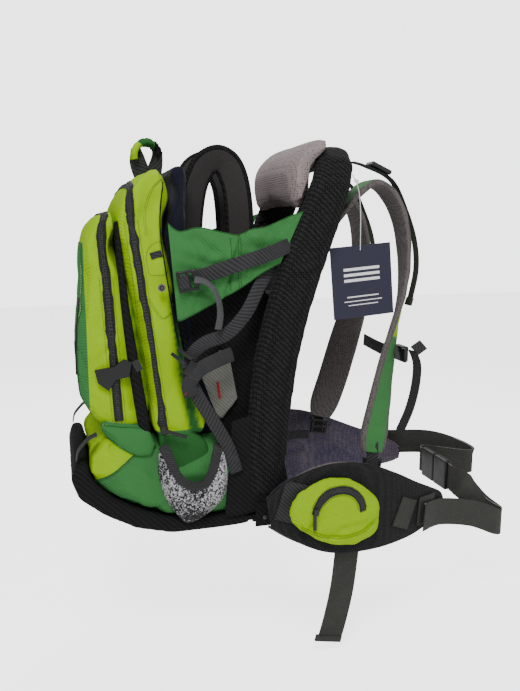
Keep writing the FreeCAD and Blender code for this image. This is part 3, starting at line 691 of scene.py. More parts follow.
m = {
    # the daypack's deep front fold gets painted shade in forest green
    "daypack": clothMaterial("daypackCloth", lime, limeDark, zones=[(green, greenDark, [((0, 0, -1), -84)])],
                             fold=(forest, forestDark)),
    "pocket": clothMaterial("pocketCloth", lime, limeDark, zones=[
        (green, greenDark, [((-1, 0, 0), 361), ((0, 0, -1), -402)]), (green, greenDark, [((-0.16, 0, -1), -44)])]),
    "base": clothMaterial("baseCloth", green, greenDark, zones=[(lime, limeDark, [((-0.55, 0, 0.835), 197)])]),
    "green": clothMaterial("greenCloth", green, greenDark),
    "lime": clothMaterial("limeCloth", lime, limeDark),
    "forest": clothMaterial("forestCloth", forest, forestDark),
    "black": clothMaterial("blackCloth", (0.016, 0.016, 0.017), (0.004, 0.004, 0.004), rough=0.85, ribs=60.0,
                           strength=0.8),
    "navy": clothMaterial("navyFoamCloth", navy, navyDark, rough=0.9, sheen=0.1),
    "charcoal": clothMaterial("charcoalPad", (0.05, 0.047, 0.046), (0.022, 0.02, 0.02), rough=0.9, sheen=0.05,
                              ribs=160.0),
    "greyLining": clothMaterial("greyLining", (0.19, 0.19, 0.17), (0.10, 0.10, 0.09), rough=0.9, ribs=90.0),
    "blackMesh": meshMaterial("blackStretchMesh", (0.022, 0.022, 0.023), (0.003, 0.003, 0.003), cells=240.0,
                              ribs=60.0),
    "wing": wingMaterial(),
    "wingMesh": meshMaterial("wingMesh", (0.024, 0.024, 0.026), (0.004, 0.004, 0.004), cells=300.0, size=0.38),
    "greyMesh": meshMaterial("greySpacerMesh", (0.135, 0.115, 0.15), (0.02, 0.018, 0.024), cells=250.0),
    "roseMesh": meshMaterial("roseSpacerMesh", (0.25, 0.205, 0.205), (0.07, 0.055, 0.055), cells=250.0, size=0.28),
    "binding": meshMaterial("meshBinding", spacer, spacerHole, cells=330.0, size=0.3),
    "webbing": webbingMaterial("blackWebbing", (0.042, 0.042, 0.045), (0.003, 0.003, 0.003), pitch=6.0),
    "belt": webbingMaterial("beltWebbing", (0.048, 0.048, 0.042), (0.016, 0.016, 0.014), pitch=3.6),
    "zip": zipMaterial(),
    "strap": strapMaterial(),
    "net": speckledMaterial(),
    "plastic": mouldedMaterial("mouldedBlack", (0.006, 0.006, 0.0065), 0.36),
    "elastic": webbingMaterial("elasticRim", (0.04, 0.04, 0.042), (0.01, 0.01, 0.011), pitch=3.2),
    "alloy": metalMaterial("satinAlloy", (0.42, 0.43, 0.45)),
    "steel": metalMaterial("pressedSteel", (0.36, 0.34, 0.31), 0.25),
    "wrap": clothMaterial("haulWrapCloth", lime, limeDark, zones=[
        (forest, forestDark, [((0.6, 0, 0.8), 306)]),
        ((0.01, 0.01, 0.01), (0.004, 0.004, 0.004), [((1, 0, 0), -228)])]),
    "limePiping": clothMaterial("limePiping", (0.22, 0.40, 0.0), (0.15, 0.3, 0.0)),
    "tail": webbingMaterial("greyWebbing", (0.09, 0.09, 0.094), (0.03, 0.03, 0.032), pitch=4.0),
    "coil": mouldedMaterial("zipCoilTeeth", (0.02, 0.02, 0.021), 0.5),
    "paleThread": mouldedMaterial("paleThread", (0.45, 0.52, 0.2), 0.8),
    "darkThread": mouldedMaterial("darkThread", (0.05, 0.07, 0.03), 0.8),
    "greyThread": mouldedMaterial("greyThread", (0.3, 0.3, 0.3), 0.8),
    "redThread": mouldedMaterial("redThread", (0.3, 0.006, 0.012), 0.8),
    "card": mouldedMaterial("navyCard", (0.011, 0.011, 0.03), 0.6),
    "print": mouldedMaterial("whitePrint", (0.8, 0.8, 0.8), 0.6),
    "string": mouldedMaterial("whiteString", (0.72, 0.72, 0.70), 0.8),
}
print("materials made", len(m))
setStage()


# padded pieces, from the frame's own solids


def softSolid(name, bm, voxel, material, body, slot, shrink, node=None):
    # a closed shape made an even skin, its corners softened, a little smaller than its solid
    bmesh.ops.remove_doubles(bm, verts=bm.verts, dist=1e-5)
    mesh = bpy.data.meshes.new(name)
    bm.to_mesh(mesh)
    bm.free()
    piece = bpy.data.objects.new(name, mesh)
    bpy.context.scene.collection.objects.link(piece)
    remesh = piece.modifiers.new("remesh", "REMESH")
    remesh.mode = "VOXEL"
    remesh.voxel_size = voxel * mm
    bakeModifiers(piece)
    bm = bmesh.new()
    bm.from_mesh(piece.data)
    for smoothing in range(4):
        bmesh.ops.smooth_vert(bm, verts=bm.verts, factor=0.5, use_axis_x=True, use_axis_y=True, use_axis_z=True)
    bm.normal_update()
    for vert in bm.verts:
        vert.co -= vert.normal * shrink * mm
    bm.to_mesh(piece.data)
    bm.free()
    piece.data.materials.clear()
    piece.data.materials.append(material)
    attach(piece, body)
    if node:
        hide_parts(node)
    return piece


def softCopy(name, node, *rest):
    bm = bmesh.new()
    bm.from_mesh(nodes[node].data)
    return softSolid(name, bm, *rest, node)


def softOutline(name, outline, lowY, highY, *rest):
    # a side outline in mm, carried from one width to the other
    bm = bmesh.new()
    face = bm.faces.new([bm.verts.new(Vector((x, lowY, z)) * mm) for x, z in outline])
    grown = bmesh.ops.extrude_face_region(bm, geom=[face])
    moved = [item for item in grown["geom"] if isinstance(item, bmesh.types.BMVert)]
    bmesh.ops.translate(bm, vec=(0, (highY - lowY) * mm, 0), verts=moved)
    bmesh.ops.recalc_face_normals(bm, faces=bm.faces)
    return softSolid(name, bm, *rest)


def bakeModifiers(piece):
    depsgraph = bpy.context.evaluated_depsgraph_get()
    mesh = bpy.data.meshes.new_from_object(piece.evaluated_get(depsgraph))
    piece.modifiers.clear()
    old = piece.data
    piece.data = mesh
    bpy.data.meshes.remove(old)


puff = {"pressure": 4.0, "frames": 20, "stretch": 12, "shear": 4, "bend": 0.3}


def puffAll(pieces):
    # one cloth run for every padded piece, each point's travel capped
    rest = {}
    for piece, cap in pieces:
        rest[piece] = [vert.co.copy() for vert in piece.data.vertices]
        cloth = piece.modifiers.new("cloth", "CLOTH")
        cloth.settings.use_pressure = True
        cloth.settings.uniform_pressure_force = puff["pressure"]
        cloth.settings.effector_weights.gravity = 0
        cloth.settings.quality = 4
        cloth.settings.tension_stiffness = puff["stretch"]
        cloth.settings.compression_stiffness = puff["stretch"]
        cloth.settings.shear_stiffness = puff["shear"]
        cloth.settings.bending_stiffness = puff["bend"]
        cloth.point_cache.frame_end = puff["frames"]
    for frameNumber in range(1, puff["frames"] + 1):
        bpy.context.scene.frame_set(frameNumber)
    depsgraph = bpy.context.evaluated_depsgraph_get()
    for piece, cap in pieces:
        shown = piece.evaluated_get(depsgraph).to_mesh()
        moved = [vert.co.copy() for vert in shown.vertices]
        piece.modifiers.clear()
        for vert, before, after in zip(piece.data.vertices, rest[piece], moved):
            travel = after - before
            if travel.length > cap * mm:
                travel *= cap * mm / travel.length
            vert.co = before + travel
    bpy.context.scene.frame_set(1)


def crease(piece, path, depth, width, low=100, mask=None):
    # a fold pressed into both side walls along a side-view path of (x, z) in mm
    line = smoothPath([(x * mm, 0, z * mm) for x, z in path], 26)
    # mask, when named, records how hard each point is pressed; the cloth material paints shade from it
    layer = piece.data.attributes.new(mask, "FLOAT", "POINT") if mask else None
    for index, vert in enumerate(piece.data.vertices):
        co = vert.co
        nearest = min((Vector((co.x, 0, co.z)) - spot).length for spot in line) / (width * mm)
        if nearest > 3:
            continue
        press = math.exp(-nearest ** 2) * min(max((abs(co.y) - low * mm) / 0.02, 0), 1)
        co.y -= math.copysign(1, co.y) * depth * mm * press
        if layer:
            layer.data[index].value = max(layer.data[index].value, min(press * 1.6, 1) ** 2)


def crumple(piece, amount, scale=26.0, stretch=(1, 1, 0.45), seed=0, where=None):
    # soft folds, drawn out along the hang of the cloth
    for vert in piece.data.vertices:
        co = vert.co
        place = Vector((co.x * stretch[0], co.y * stretch[1], co.z * stretch[2])) * scale + Vector((seed, seed, 0))
        ridge = 1 - abs(noise.noise(place)) * 2
        fine = noise.noise(place * 3.1)
        share = where(co / mm) if where else 1
        vert.co += vert.normal * (ridge * 0.7 + fine * 0.3 - 0.4) * amount * mm * share


def paintFront(piece):
    # the face towards the child's seat is lined in the foam's cloth
    layer = piece.data.attributes.new("front", "FLOAT", "POINT")
    for index, vert in enumerate(piece.data.vertices):
        layer.data[index].value = min(max((vert.normal.x - 0.7) * 6, 0), 1) * (abs(vert.co.y) < 0.117)


def finishSoft(piece):
    rounder = piece.modifiers.new("rounder", "SUBSURF")
    rounder.levels = 1
    rounder.render_levels = 1
    for face in piece.data.polygons:
        face.use_smooth = True


droop = {"left": 22, "right": -22, "reach": 320}  # how far each hip wing's tip rises, in mm, and its length


def sag(name, x):
    return droop[name] * (max(x, 0) / droop["reach"]) ** 1.5


bag = {
    "pocketGore": [(-352, 108), (-318, 99), (-262, 88), (-252, 60), (-256, 36), (-290, 40), (-318, 58), (-338, 84)],
    "sideGore": [(-252, 92), (-200, 86), (-165, 62), (-150, 20), (-170, -16), (-224, -20), (-246, 10)],
    "gap": [(-312, 446), (-304, 442), (-291, 300), (-277, 200), (-261, 90), (-256, 58), (-272, 58), (-284, 100),
            (-296, 200), (-305, 300)],
    "rim": [(-90, -80), (-190, -78), (-236, -75), (-290, -52), (-330, -30), (-364, 8), (-371, 36), (-388, 37),
            (-396, 8), (-384, -25), (-345, -57), (-292, -87), (-226, -104), (-120, -104), (-90, -100)],
    "fold": [(-214, 312), (-208, 240), (-199, 160), (-188, 95), (-178, 52)],
    "hipFolds": (([(-2, -96), (16, -84), (22, -60)], 4, 6), ([(40, -112), (70, -96), (108, -92)], 4, 7)),
    "folds": (([(-300, 190), (-292, 140), (-276, 100)], 3, 9), ([(-246, 470), (-250, 430), (-246, 380)], 3, 7),
              ([(-254, 500), (-262, 470), (-268, 430)], 3, 6), ([(-236, 230), (-228, 160), (-222, 110)], 2.5, 8)),
}

pads = {
    "daypack": softCopy("daypackBody", "daypack_body", 6, m["daypack"], "carrier", "lime_cloth", 5),
    "pocket": softCopy("outerPocket", "outer_pocket", 6, m["pocket"], "carrier", "lime_cloth", 4),
    "base": softCopy("baseCompartment", "base_compartment", 6, m["base"], "carrier", "green_cloth", 0),
    "rim": softOutline("baseRim", bag["rim"], -139, 139, 5, m["black"], "kickstand", "black_cloth", -1.2),
    "head": softCopy("headPad", "head_pad", 5, m["roseMesh"], "carrier", "rose_mesh", 1),
    "sleeve": softCopy("frameSleeve", "frame_sleeve", 6, m["blackMesh"], "carrier", "black_mesh", 1),
    "back": softCopy("backPanel", "back_panel", 6, m["wingMesh"], "carrier", "black_mesh", 0),
    "lumbar": softCopy("lumbarPad", "lumbar_pad", 5, m["greyMesh"], "carrier", "grey_mesh", 3),
    "foam": softCopy("seatBack", "seat_back_foam", 6, m["navy"], "carrier", "navy_cloth", 3),
    "seat": softCopy("seatCushion", "seat_cushion", 5, m["greyLining"], "carrier", "grey_cloth", 3),
    "gore": softOutline("pocketGore", bag["pocketGore"], -143, 143, 6, m["green"], "carrier", "green_cloth", 2),
    "side": softOutline("sideGore", bag["sideGore"], -139, 139, 6, m["forest"], "carrier", "green_cloth", 2),
    "gap": softOutline("gapGusset", bag["gap"], -134, 134, 6, m["black"], "carrier", "black_cloth", 0),
}
for name, side in sides:
    pads["hip" + name] = softCopy("hipPocket_" + name, "hip_pocket_" + name, 4, m["lime"], "wing_" + name,
                                  "lime_cloth", 2)
print("padded pieces remeshed", len(pads))
puffAll([(pads["daypack"], 9), (pads["pocket"], 8), (pads["base"], 7), (pads["head"], 6), (pads["lumbar"], 6),
         (pads["foam"], 6), (pads["seat"], 7), (pads["hipleft"], 5), (pads["hipright"], 5), (pads["gore"], 5)])
print("cloth settled")

# the deep front fold's mask carries painted shade into the daypack cloth
crease(pads["daypack"], bag["fold"], 13, 10, mask="fold")
for path, depth, width in bag["folds"]:
    crease(pads["daypack"], path, depth, width)
    crease(pads["pocket"], path, depth, width)
crumple(pads["daypack"], 2.4, 24, (1, 1, 0.4))
crumple(pads["pocket"], 2.2, 26, (1, 1, 0.4), 3)
crumple(pads["base"], 5.5, 20, (0.5, 1, 1.3), 5)
crumple(pads["gore"], 4, 24, (0.6, 1, 1), 2)
crumple(pads["rim"], 0.6, 40, (0.6, 1, 1), 6)
crumple(pads["sleeve"], 2.2, 34, (0.5, 0.5, 2.2), 8, lambda co: 0.35 + math.exp(-((co.z - 355) / 45) ** 2))
crumple(pads["foam"], 1.2, 30, (1, 1, 1), 9)
for name, side in sides:
    crumple(pads["hip" + name], 5.0, 22, (0.6, 1, 1.3), 4)
    for path, depth, width in bag["hipFolds"]:
        crease(pads["hip" + name], [(x, z + sag(name, x)) for x, z in path], depth, width, 160)
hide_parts("base_rim")
paintFront(pads["daypack"])
for key in pads:
    finishSoft(pads[key])
print("padded pieces shaped")


# trim laid on the soft walls

def treeOf(*pieces):
    bm = bmesh.new()
    for piece in pieces:
        bm.from_mesh(piece.data)
    tree = BVHTree.FromBMesh(bm)
    bm.free()
    return tree


def cast(tree, way, spot, lift=0.0):
    # the wall that a straight line along way first meets, or with no way the nearest wall, and its normal
    if way is None:
        hit, normal = tree.find_nearest(spot * mm)[:2]
        return hit + normal * lift * mm, normal
    start = spot * mm
    start = start - way * start.dot(way) - way * 0.7
    hit, normal = tree.ray_cast(start, way)[:2]
    if hit is None:
        hit, normal = tree.find_nearest(spot * mm)[:2]
    if normal.dot(way) > 0:
        normal = -normal
    return hit + normal * lift * mm, normal


def laid(tree, way, spots, gap, lift):
    # evenly spaced places along a draped line: place, direction, normal
    line = smoothPath(spots, max(len(spots) * 14, 24))
    draped = [cast(tree, way, spot, lift) for spot in line]
    route = [found[0] for found in draped]
    lengths = along(route)
    places = []
    index = 0
    for step in range(int(lengths[-1] / (gap * mm))):
        want = (step + 0.5) * gap * mm
        while lengths[index + 1] < want:
            index += 1
        share = (want - lengths[index]) / max(lengths[index + 1] - lengths[index], 1e-9)
        places.append((route[index].lerp(route[index + 1], share), heading(route, index), draped[index][1]))
    return places


def upright(place, ahead, normal):
    side = ahead.cross(normal).normalized()
    normal = side.cross(ahead).normalized()
    return Matrix.Translation(place) @ Matrix((ahead, side, normal)).transposed().to_4x4()


sewing = {"dash": (3.0, 0.6, 0.5), "gap": 4.4, "lift": 0.35}
threads = {}


def stitch(tree, way, spots, body, thread, gap=sewing["gap"]):
    threads.setdefault((body, thread), []).extend(laid(tree, way, spots, gap, sewing["lift"]))


def sewThreads():
    for (body, thread), places in threads.items():
        bm = bmesh.new()
        for place, ahead, normal in places:
            cubeAt(bm, upright(place, ahead, normal), sewing["dash"])
        addPiece("stitches_" + body + "_" + thread, bm, m[thread], body, smooth=False)


def layBand(name, tree, way, spots, width, thickness, material, body, lift, crown):
    # a flat band that follows the wall, crowned across its width
    line = smoothPath(spots, max(len(spots) * 14, 24))
    length = along(line)[-1] * mm

    def place(u, v):
        index = round(v * (len(line) - 1))
        ahead = heading(line, index)
        inward = way or -cast(tree, way, line[index])[1]
        across = ahead.cross(inward).normalized()
        a = 2 * u - 1
        return cast(tree, way, line[index] + across * (a * width / 2), lift + crown * (1 - a * a))[0]

    bm = mappedGrid(8, len(line) - 1, place, False, (width * mm, length))
    piece = addPiece(name, bm, material, body)
    thicken(piece, thickness)
    return piece


coil = {"pitch": 3.1, "tooth": (1.5, 4.2, 1.5), "slant": 32, "lift": 1.5, "half": 2.0}


def zipOn(name, tree, way, spots, body, width=15):
    tape = layBand(name + "Tape", tree, way, spots, width, 1.0, m["zip"], body, 0.9, 0.4)
    bm = bmesh.new()
    for place, ahead, normal in laid(tree, way, spots, coil["pitch"], coil["lift"]):
        stand = upright(place, ahead, normal)
        for row in (-1, 1):
            turn = Matrix.Rotation(math.radians(coil["slant"] * row), 4, "Z")
            shift = Matrix.Translation((0, row * coil["half"] * mm, 0))
            cubeAt(bm, stand @ shift @ turn, coil["tooth"])
    teeth = addPiece(name + "Teeth", bm, m["coil"], body, smooth=False)
    return joined(name, [tape, teeth], body)


def seam(name, tree, way, spots, radius, material, body, lift=0.2):
    # a round piping on the wall, places that fall together left out
    line = []
    for spot in smoothPath(spots, max(len(spots) * 10, 16)):
        place = cast(tree, way, spot, lift)[0]
        if math.isfinite(place.length) and (not line or (place - line[-1]).length > 0.3 * mm):
            line.append(place)
    piece = tube(name, line, radius * mm, material, body, 6, len(line) * 2)
    return piece


def patch(name, tree, way, centre, ways, lengths, material, body, lift=0.6):
    # a sewn-down rectangle following the wall: its two ways, then its width, length and thickness in mm
    across, down = (Vector(spot) for spot in ways)
    width, length, thickness = lengths

    def place(u, v):
        return cast(tree, way, Vector(centre) + across * ((u - 0.5) * width) + down * ((v - 0.5) * length), lift)[0]

    piece = addPiece(name, mappedGrid(8, 8, place, False, (width * mm, length * mm)), material, body)
    thicken(piece, thickness, 1)


bagTree = treeOf(pads["daypack"])
pocketTree = treeOf(pads["pocket"])
baseTree = treeOf(pads["base"], pads["gore"])
trim = {
    "main": [(-236, 78), (-243, 96), (-254, 190), (-266, 282), (-278, 380), (-286, 440), (-288, 470)],
    "overMain": [(-289, -143, 482), (-286, -126, 494), (-284, -60, 500), (-284, 0, 500)],
    "front": [(-314, 104), (-318, 170), (-322, 260), (-327, 350), (-331, 415), (-332, 436)],
    "overFront": [(-331, -124, 444), (-327, -106, 458), (-324, -50, 461), (-324, 0, 461)],
    "rear": [(-372, -60, 122), (-372, -60, 215), (-372, -60, 308)],
    "curves": ([(-234, 505), (-252, 488), (-264, 452), (-262, 410)],
               [(-262, 312), (-250, 290), (-238, 277), (-222, 288)]),
    "tab": [(-258, 350), (-262, 380), (-254, 398), (-236, 404), (-228, 388), (-226, 360), (-234, 350), (-258, 350)],
    "piping": [(-232, 500), (-238, 440), (-233, 375), (-222, 300), (-211, 235)],
    "gore": [(-350, 104), (-318, 96), (-290, 92), (-262, 86)],
    "goreStitch": [(-346, 109), (-318, 101), (-290, 97), (-264, 91)],
    "base": [(-368, -2), (-340, 12), (-312, 30), (-290, 44)],
}
mainWall, frontWall = 146, 128  # how far out the two zips' walls stand, in mm
mainPieces = []
frontPieces = []
for name, side in sides:
    way = Vector((0, -side, 0))
    for offset in (-11, 11):
        stitch(bagTree, way, onSide(side, mainWall, trim["main"][1:-1], offset), "carrier", "darkThread")
        stitch(pocketTree, way, onSide(side, frontWall, trim["front"][:-2], offset), "carrier", "darkThread")
    for offset in (0, 3.2):
        for line in trim["curves"]:
            stitch(bagTree, way, onSide(side, mainWall, line, offset), "carrier", "darkThread")
    stitch(bagTree, way, onSide(side, mainWall, trim["tab"]), "carrier", "darkThread", 3.8)
    patch("tabWebbing_" + name, bagTree, way, (-246, side * mainWall, 383), ((0.96, 0, 0.26), (-0.26, 0, 0.96)),
          (19, 11, 1.2), m["webbing"], "carrier")
    seam("frontPiping_" + name, bagTree, way, onSide(side, 143, trim["piping"]), 1.3, m["black"], "carrier")
    seam("goreSeam_" + name, baseTree, way, onSide(side, 140, trim["gore"]), 0.9, m["forest"], "carrier")
    stitch(baseTree, way, onSide(side, 140, trim["goreStitch"]), "carrier", "paleThread")
    seam("baseSeam_" + name, baseTree, way, onSide(side, 138, trim["base"]), 1.1, m["forest"], "carrier")
    stitch(baseTree, way, onSide(side, 138, trim["base"], 0, -4), "carrier", "darkThread")
for key, tree, wall, over, made in (("main", bagTree, mainWall, trim["overMain"], mainPieces),
                                    ("front", pocketTree, frontWall, trim["overFront"], frontPieces)):
    half = [Vector((x, -wall, z)) for x, z in trim[key]] + [Vector(spot) for spot in over]
    far = [Vector((spot.x, -spot.y, spot.z)) for spot in reversed(half[:-1])]
    made.append(zipOn(key + "Zip", tree, None, half + far, "carrier"))
rearWay = Vector((1, 0, 0))
frontPieces.append(zipOn("rearZip", pocketTree, rearWay, trim["rear"], "carrier"))
joined("mainZips", mainPieces, "carrier", ("main_zip_tape",))
joined("pocketZips", frontPieces, "carrier", ("pocket_zip_tape",))
for side in (-1, 1):
    seam("rearPanelSeam" + str(side), pocketTree, rearWay, [(-370, side * 92, z) for z in (110, 200, 300, 400)],
         1.1, m["forest"], "carrier")
    stitch(pocketTree, rearWay, [(-370, side * 88, z) for z in (112, 200, 300, 400)], "carrier", "paleThread")
print("daypack trimmed")


# side panels, linings, covers and a black sheet of painted shade, in sheet cloth

def clothSheet(name, key, y, material, replaces=(), wrinkle=2.0, pleat=None,
               rows=(70, 30)):
    # cloth between a panel's lower and upper edge, standing at y
    low, high = panels[key]
    bottom = smoothPath([(x, 0, z) for x, z in low], 80)
    top = smoothPath([(x, 0, z) for x, z in high], 80)
    side = math.copysign(1, y)

    def place(u, v):
        spot = sampled(bottom, u).lerp(sampled(top, u), v)
        calm = min(u, 1 - u, v + 0.05, 1.05 - v) * 5
        broad = Vector((spot.x * 0.028, spot.z * 0.05 + spot.x * 0.016, y))
        tight = Vector((spot.x * 0.12 + spot.z * 0.05, spot.z * 0.05 - spot.x * 0.03, 3 + y))
        swell = wrinkle * noise.noise(broad) * min(calm, 1)
        fine = 0.45 * wrinkle * noise.noise(tight) * min(calm, 1)
        fold = -3.2 * math.exp(-((u - pleat) / 0.018) ** 2) if pleat else 0
        return Vector((spot.x, y + side * (swell + fine + fold), spot.z)) * mm

    piece = addPiece(name, mappedGrid(*rows, place, False, (0.2, 0.2)), material, "carrier", replaces)
    thicken(piece, 1.2)
    return piece


# the lower and the upper edge of each panel, side-view lines in mm
panels = {
    "side": ([(-214, 276), (-208, 274), (-180, 287), (-150, 302), (-120, 318), (-91, 335), (-66, 352), (-34, 368)],
             [(-227, 434), (-208, 421), (-175, 427), (-130, 418), (-108, 415), (-86, 424), (-59, 429), (-18, 446),
              (6, 454)]),
    # edges of the black sheet that paints the seat interior's shade
    "interiorShade": ([(-182, 100), (-164, 50), (-140, 20), (-108, 10), (-76, 16), (-40, 30)],
               [(-206, 290), (-180, 302), (-150, 316), (-120, 332), (-91, 350), (-52, 372)]),
    "boot": ([(-136, -84), (-108, -82), (-76, -78), (-40, -77), (-8, -82)],
             [(-122, 92), (-104, 98), (-82, 100), (-62, 98), (-40, 92)]),
    "crown": ([(-4, 436), (16, 440), (40, 448)], [(22, 488), (38, 510), (52, 530)]),
    "liner": ([(-160, 146), (-150, 118), (-136, 92), (-122, 104), (-104, 126)],
              [(-170, 172), (-156, 192), (-144, 208), (-130, 214), (-116, 190)]),
}
panelY = 143
for name, side in sides:
    clothSheet("sidePanel_" + name, "side", side * panelY, m["green"], ("side_panel_" + name,), 8,
               0.52)
    # painted shade: a black sheet at 104 mm darkens the child's seat interior behind the liner
    clothSheet("seatShadeSheet_" + name, "interiorShade", side * 104, m["black"], wrinkle=5)
    clothSheet("frameBoot_" + name, "boot", side * 142.5, m["black"], wrinkle=0.8,
               rows=(30, 20))
    clothSheet("crownLining_" + name, "crown", side * 112, m["black"], wrinkle=1,
               rows=(16, 30))
    clothSheet("seatLiner_" + name, "liner", side * 112, m["greyLining"], wrinkle=4,
               rows=(24, 24))
    panelTree = treeOf(bpy.data.objects["sidePanel_" + name])
    way = Vector((0, -side, 0))
    for x, width in ((-122, 0), (-108, 5), (-104, 5)):
        run = [(x, side * panelY, z) for z in (322 - width, 350, 380, 410)]
        seam("panelSeam" + str(-x) + "_" + name, panelTree, way, run, 0.8, m["forest"], "carrier", 0.5)
    low, top = panels["side"]
    for key, line, inward in (("top", top, -5), ("low", low, 5)):
        seam("panelHem_" + key + "_" + name, panelTree, way, onSide(side, panelY, line), 1.0, m["forest"], "carrier",
             0.3)
        stitch(panelTree, way, onSide(side, panelY, line[1:-1], 0, inward), "carrier", "darkThread")
for name, side in sides:
    spots = [vert.co for vert in nodes["press_snaps"].data.vertices if vert.co.y * side > 0]
    low = [min(spot[axis] for spot in spots) for axis in range(3)]
    high = [max(spot[axis] for spot in spots) for axis in range(3)]
    centre = [(a + b) / 2 / mm for a, b in zip(low, high)]
    face = side * max(abs(low[1]), abs(high[1])) / mm
    for radius, depth, material in ((4.2, 0.6, "plastic"), (1.6, 1.2, "steel")):
        bm = bmesh.new()
        place = Matrix.Translation(Vector((centre[0], face, centre[2])) * mm) @ turned(90, "X")
        bmesh.ops.create_cone(bm, cap_ends=True, segments=24, radius1=radius * mm, radius2=radius * mm,
                              depth=depth * mm, matrix=place)
        addPiece("snapCore" + str(round(radius)) + "_" + name, bm, m[material], "carrier",
                 smooth=False)
print("cockpit sides hung")


# webbing, harness and pads

acrossY = (0, 1, 0)


def foldedEnd(name, place, across, down, lengths, material, body):
    # the turned-back, bar-tacked end of a webbing tail
    across = Vector(across).normalized()
    ahead = Vector(down).normalized()
    normal = across.cross(ahead).normalized()
    bm = bmesh.new()
    matrix = Matrix.Translation(Vector(place) * mm) @ Matrix((across, ahead, normal)).transposed().to_4x4()
    cubeAt(bm, matrix, lengths)
    bmesh.ops.subdivide_edges(bm, edges=bm.edges[:], cuts=3, use_grid_fill=True)
    uv = bm.loops.layers.uv.new("UVMap")
    inverse = matrix.inverted()
    for face in bm.faces:
        for loop in face.loops:
            local = inverse @ loop.vert.co
            loop[uv].uv = (local.x, local.y)
    rounder = addPiece(name, bm, material, body).modifiers.new("edge", "BEVEL")
    rounder.width = 0.5 * mm
    rounder.segments = 2


def flatAcross(route):
    # width directions that keep a band's face to the side while it follows a side-view path
    ways = []
    for index in range(len(route)):
        low, high = route[max(index - 1, 0)], route[min(index + 1, len(route) - 1)]
        run = Vector((high[0] - low[0], 0, high[-1] - low[-1])).normalized()
        ways.append(Vector((-run.z, 0.0, run.x)))
    return ways


strapStations = [(60, 398, 62, 0, 56), (96, 450, 74, 0, 60), (128, 490, 86, 0, 64), (158, 506, 93, 0, 64),
                 (188, 486, 96, 0, 64), (212, 440, 97, 4, 64), (223, 375, 97, 10, 64), (221, 310, 98, 20, 64),
                 (206, 244, 101, 34, 64), (189, 177, 107, 48, 64), (171, 100, 118, 62, 64), (156, 40, 130, 74, 62),
                 (150, 10, 136, 78, 46)]
wingStations = [(-62, 0, -100, -48), (-20, 9, -126, -10), (40, 15, -150, 14), (100, 15, -157, 12), (160, 7, -154, -8),
                (220, -12, -146, -34), (272, -38, -134, -56), (310, -64, -122, -74), (324, -76, -112, -88)]
beltPlan = [(248, 2), (312, -44), (400, -66), (468, -80), (494, -106), (472, -122), (420, -98), (384, -84)]
beltDrop = {"left": (-64, -60, -62, -84, -98, -98, -94, -90),
            "right": (-118, -132, -156, -188, -196, -182, -136, -100)}
wingY = 166
harnessPath = [(-190, 402), (-185, 462), (-176, 508), (-156, 546), (-122, 561), (-90, 543), (-72, 490), (-68, 400),
               (-82, 290), (-92, 165)]
lifterPath = [(114, 543), (142, 536), (194, 512), (226, 456), (246, 400), (251, 347), (240, 290)]
stirrupPath = [(-42, 366, 122), (-69, 331, 138), (-97, 284, 148), (-132, 250, 153), (-170, 236, 152),
               (-192, 214, 148), (-196, 180, 147), (-184, 146, 150), (-158, 100, 152), (-132, 52, 150),
               (-115, 2, 148)]
knotPath = [(-122, 214, 149), (-150, 206, 155), (-180, 192, 158), (-198, 168, 155), (-194, 146, 152)]
haulPath = [(-240, 500), (-256, 540), (-256, 568), (-238, 575), (-222, 556), (-232, 512)]
sideStrapPath = [(-180, 152, 346), (-150, 152.5, 355), (-100, 152.5, 370), (-62, 152, 382), (-36, 149, 391),
                 (-14, 141, 399)]
sideTailPath = [(-188, 161, 343), (-172, 166, 340), (-158, 170, 328), (-150, 171, 308), (-147, 169, 284),
                (-150, 165, 260)]
sideTailWays = [Vector((0.1, 0.5, 0.9)), Vector((0.3, 0.7, 0.6)), Vector((0.6, 0.7, 0.3)), Vector((0.8, 0.6, 0)),
                Vector((0.9, 0.4, 0)), Vector((0.95, 0.2, 0))]
lockWrapPath = [(-214, 155.5, 338), (-210, 160, 338.5), (-204, 160.7, 339.5), (-198, 160, 340.5), (-194, 154.5, 341)]
stabiliserPath = [(124, 139, -33), (96, 141, -32), (40, 143, -38), (-18, 146, -48)]
strapFootPath = [(150, 137, 30), (149, 140, 12), (147.5, 143, -4), (147, 143.5, -16), (145, 142, -30)]


def strapQuilt(a, v, outward):
    # shallow puckers, fainter on the wearer's side
    return 0.5 * math.sin(v * 90 + 3 * a) * (1 if outward > 0 else 0.3)


def wingQuilt(a, v, outward):
    # two sewn channels on the wearer's side
    if outward > 0:
        return 0
    return -2.6 * math.exp(-((a - 0.1 + 0.4 * v) / 0.07) ** 2) - 1.6 * math.exp(-((v - 0.42) / 0.03) ** 2)


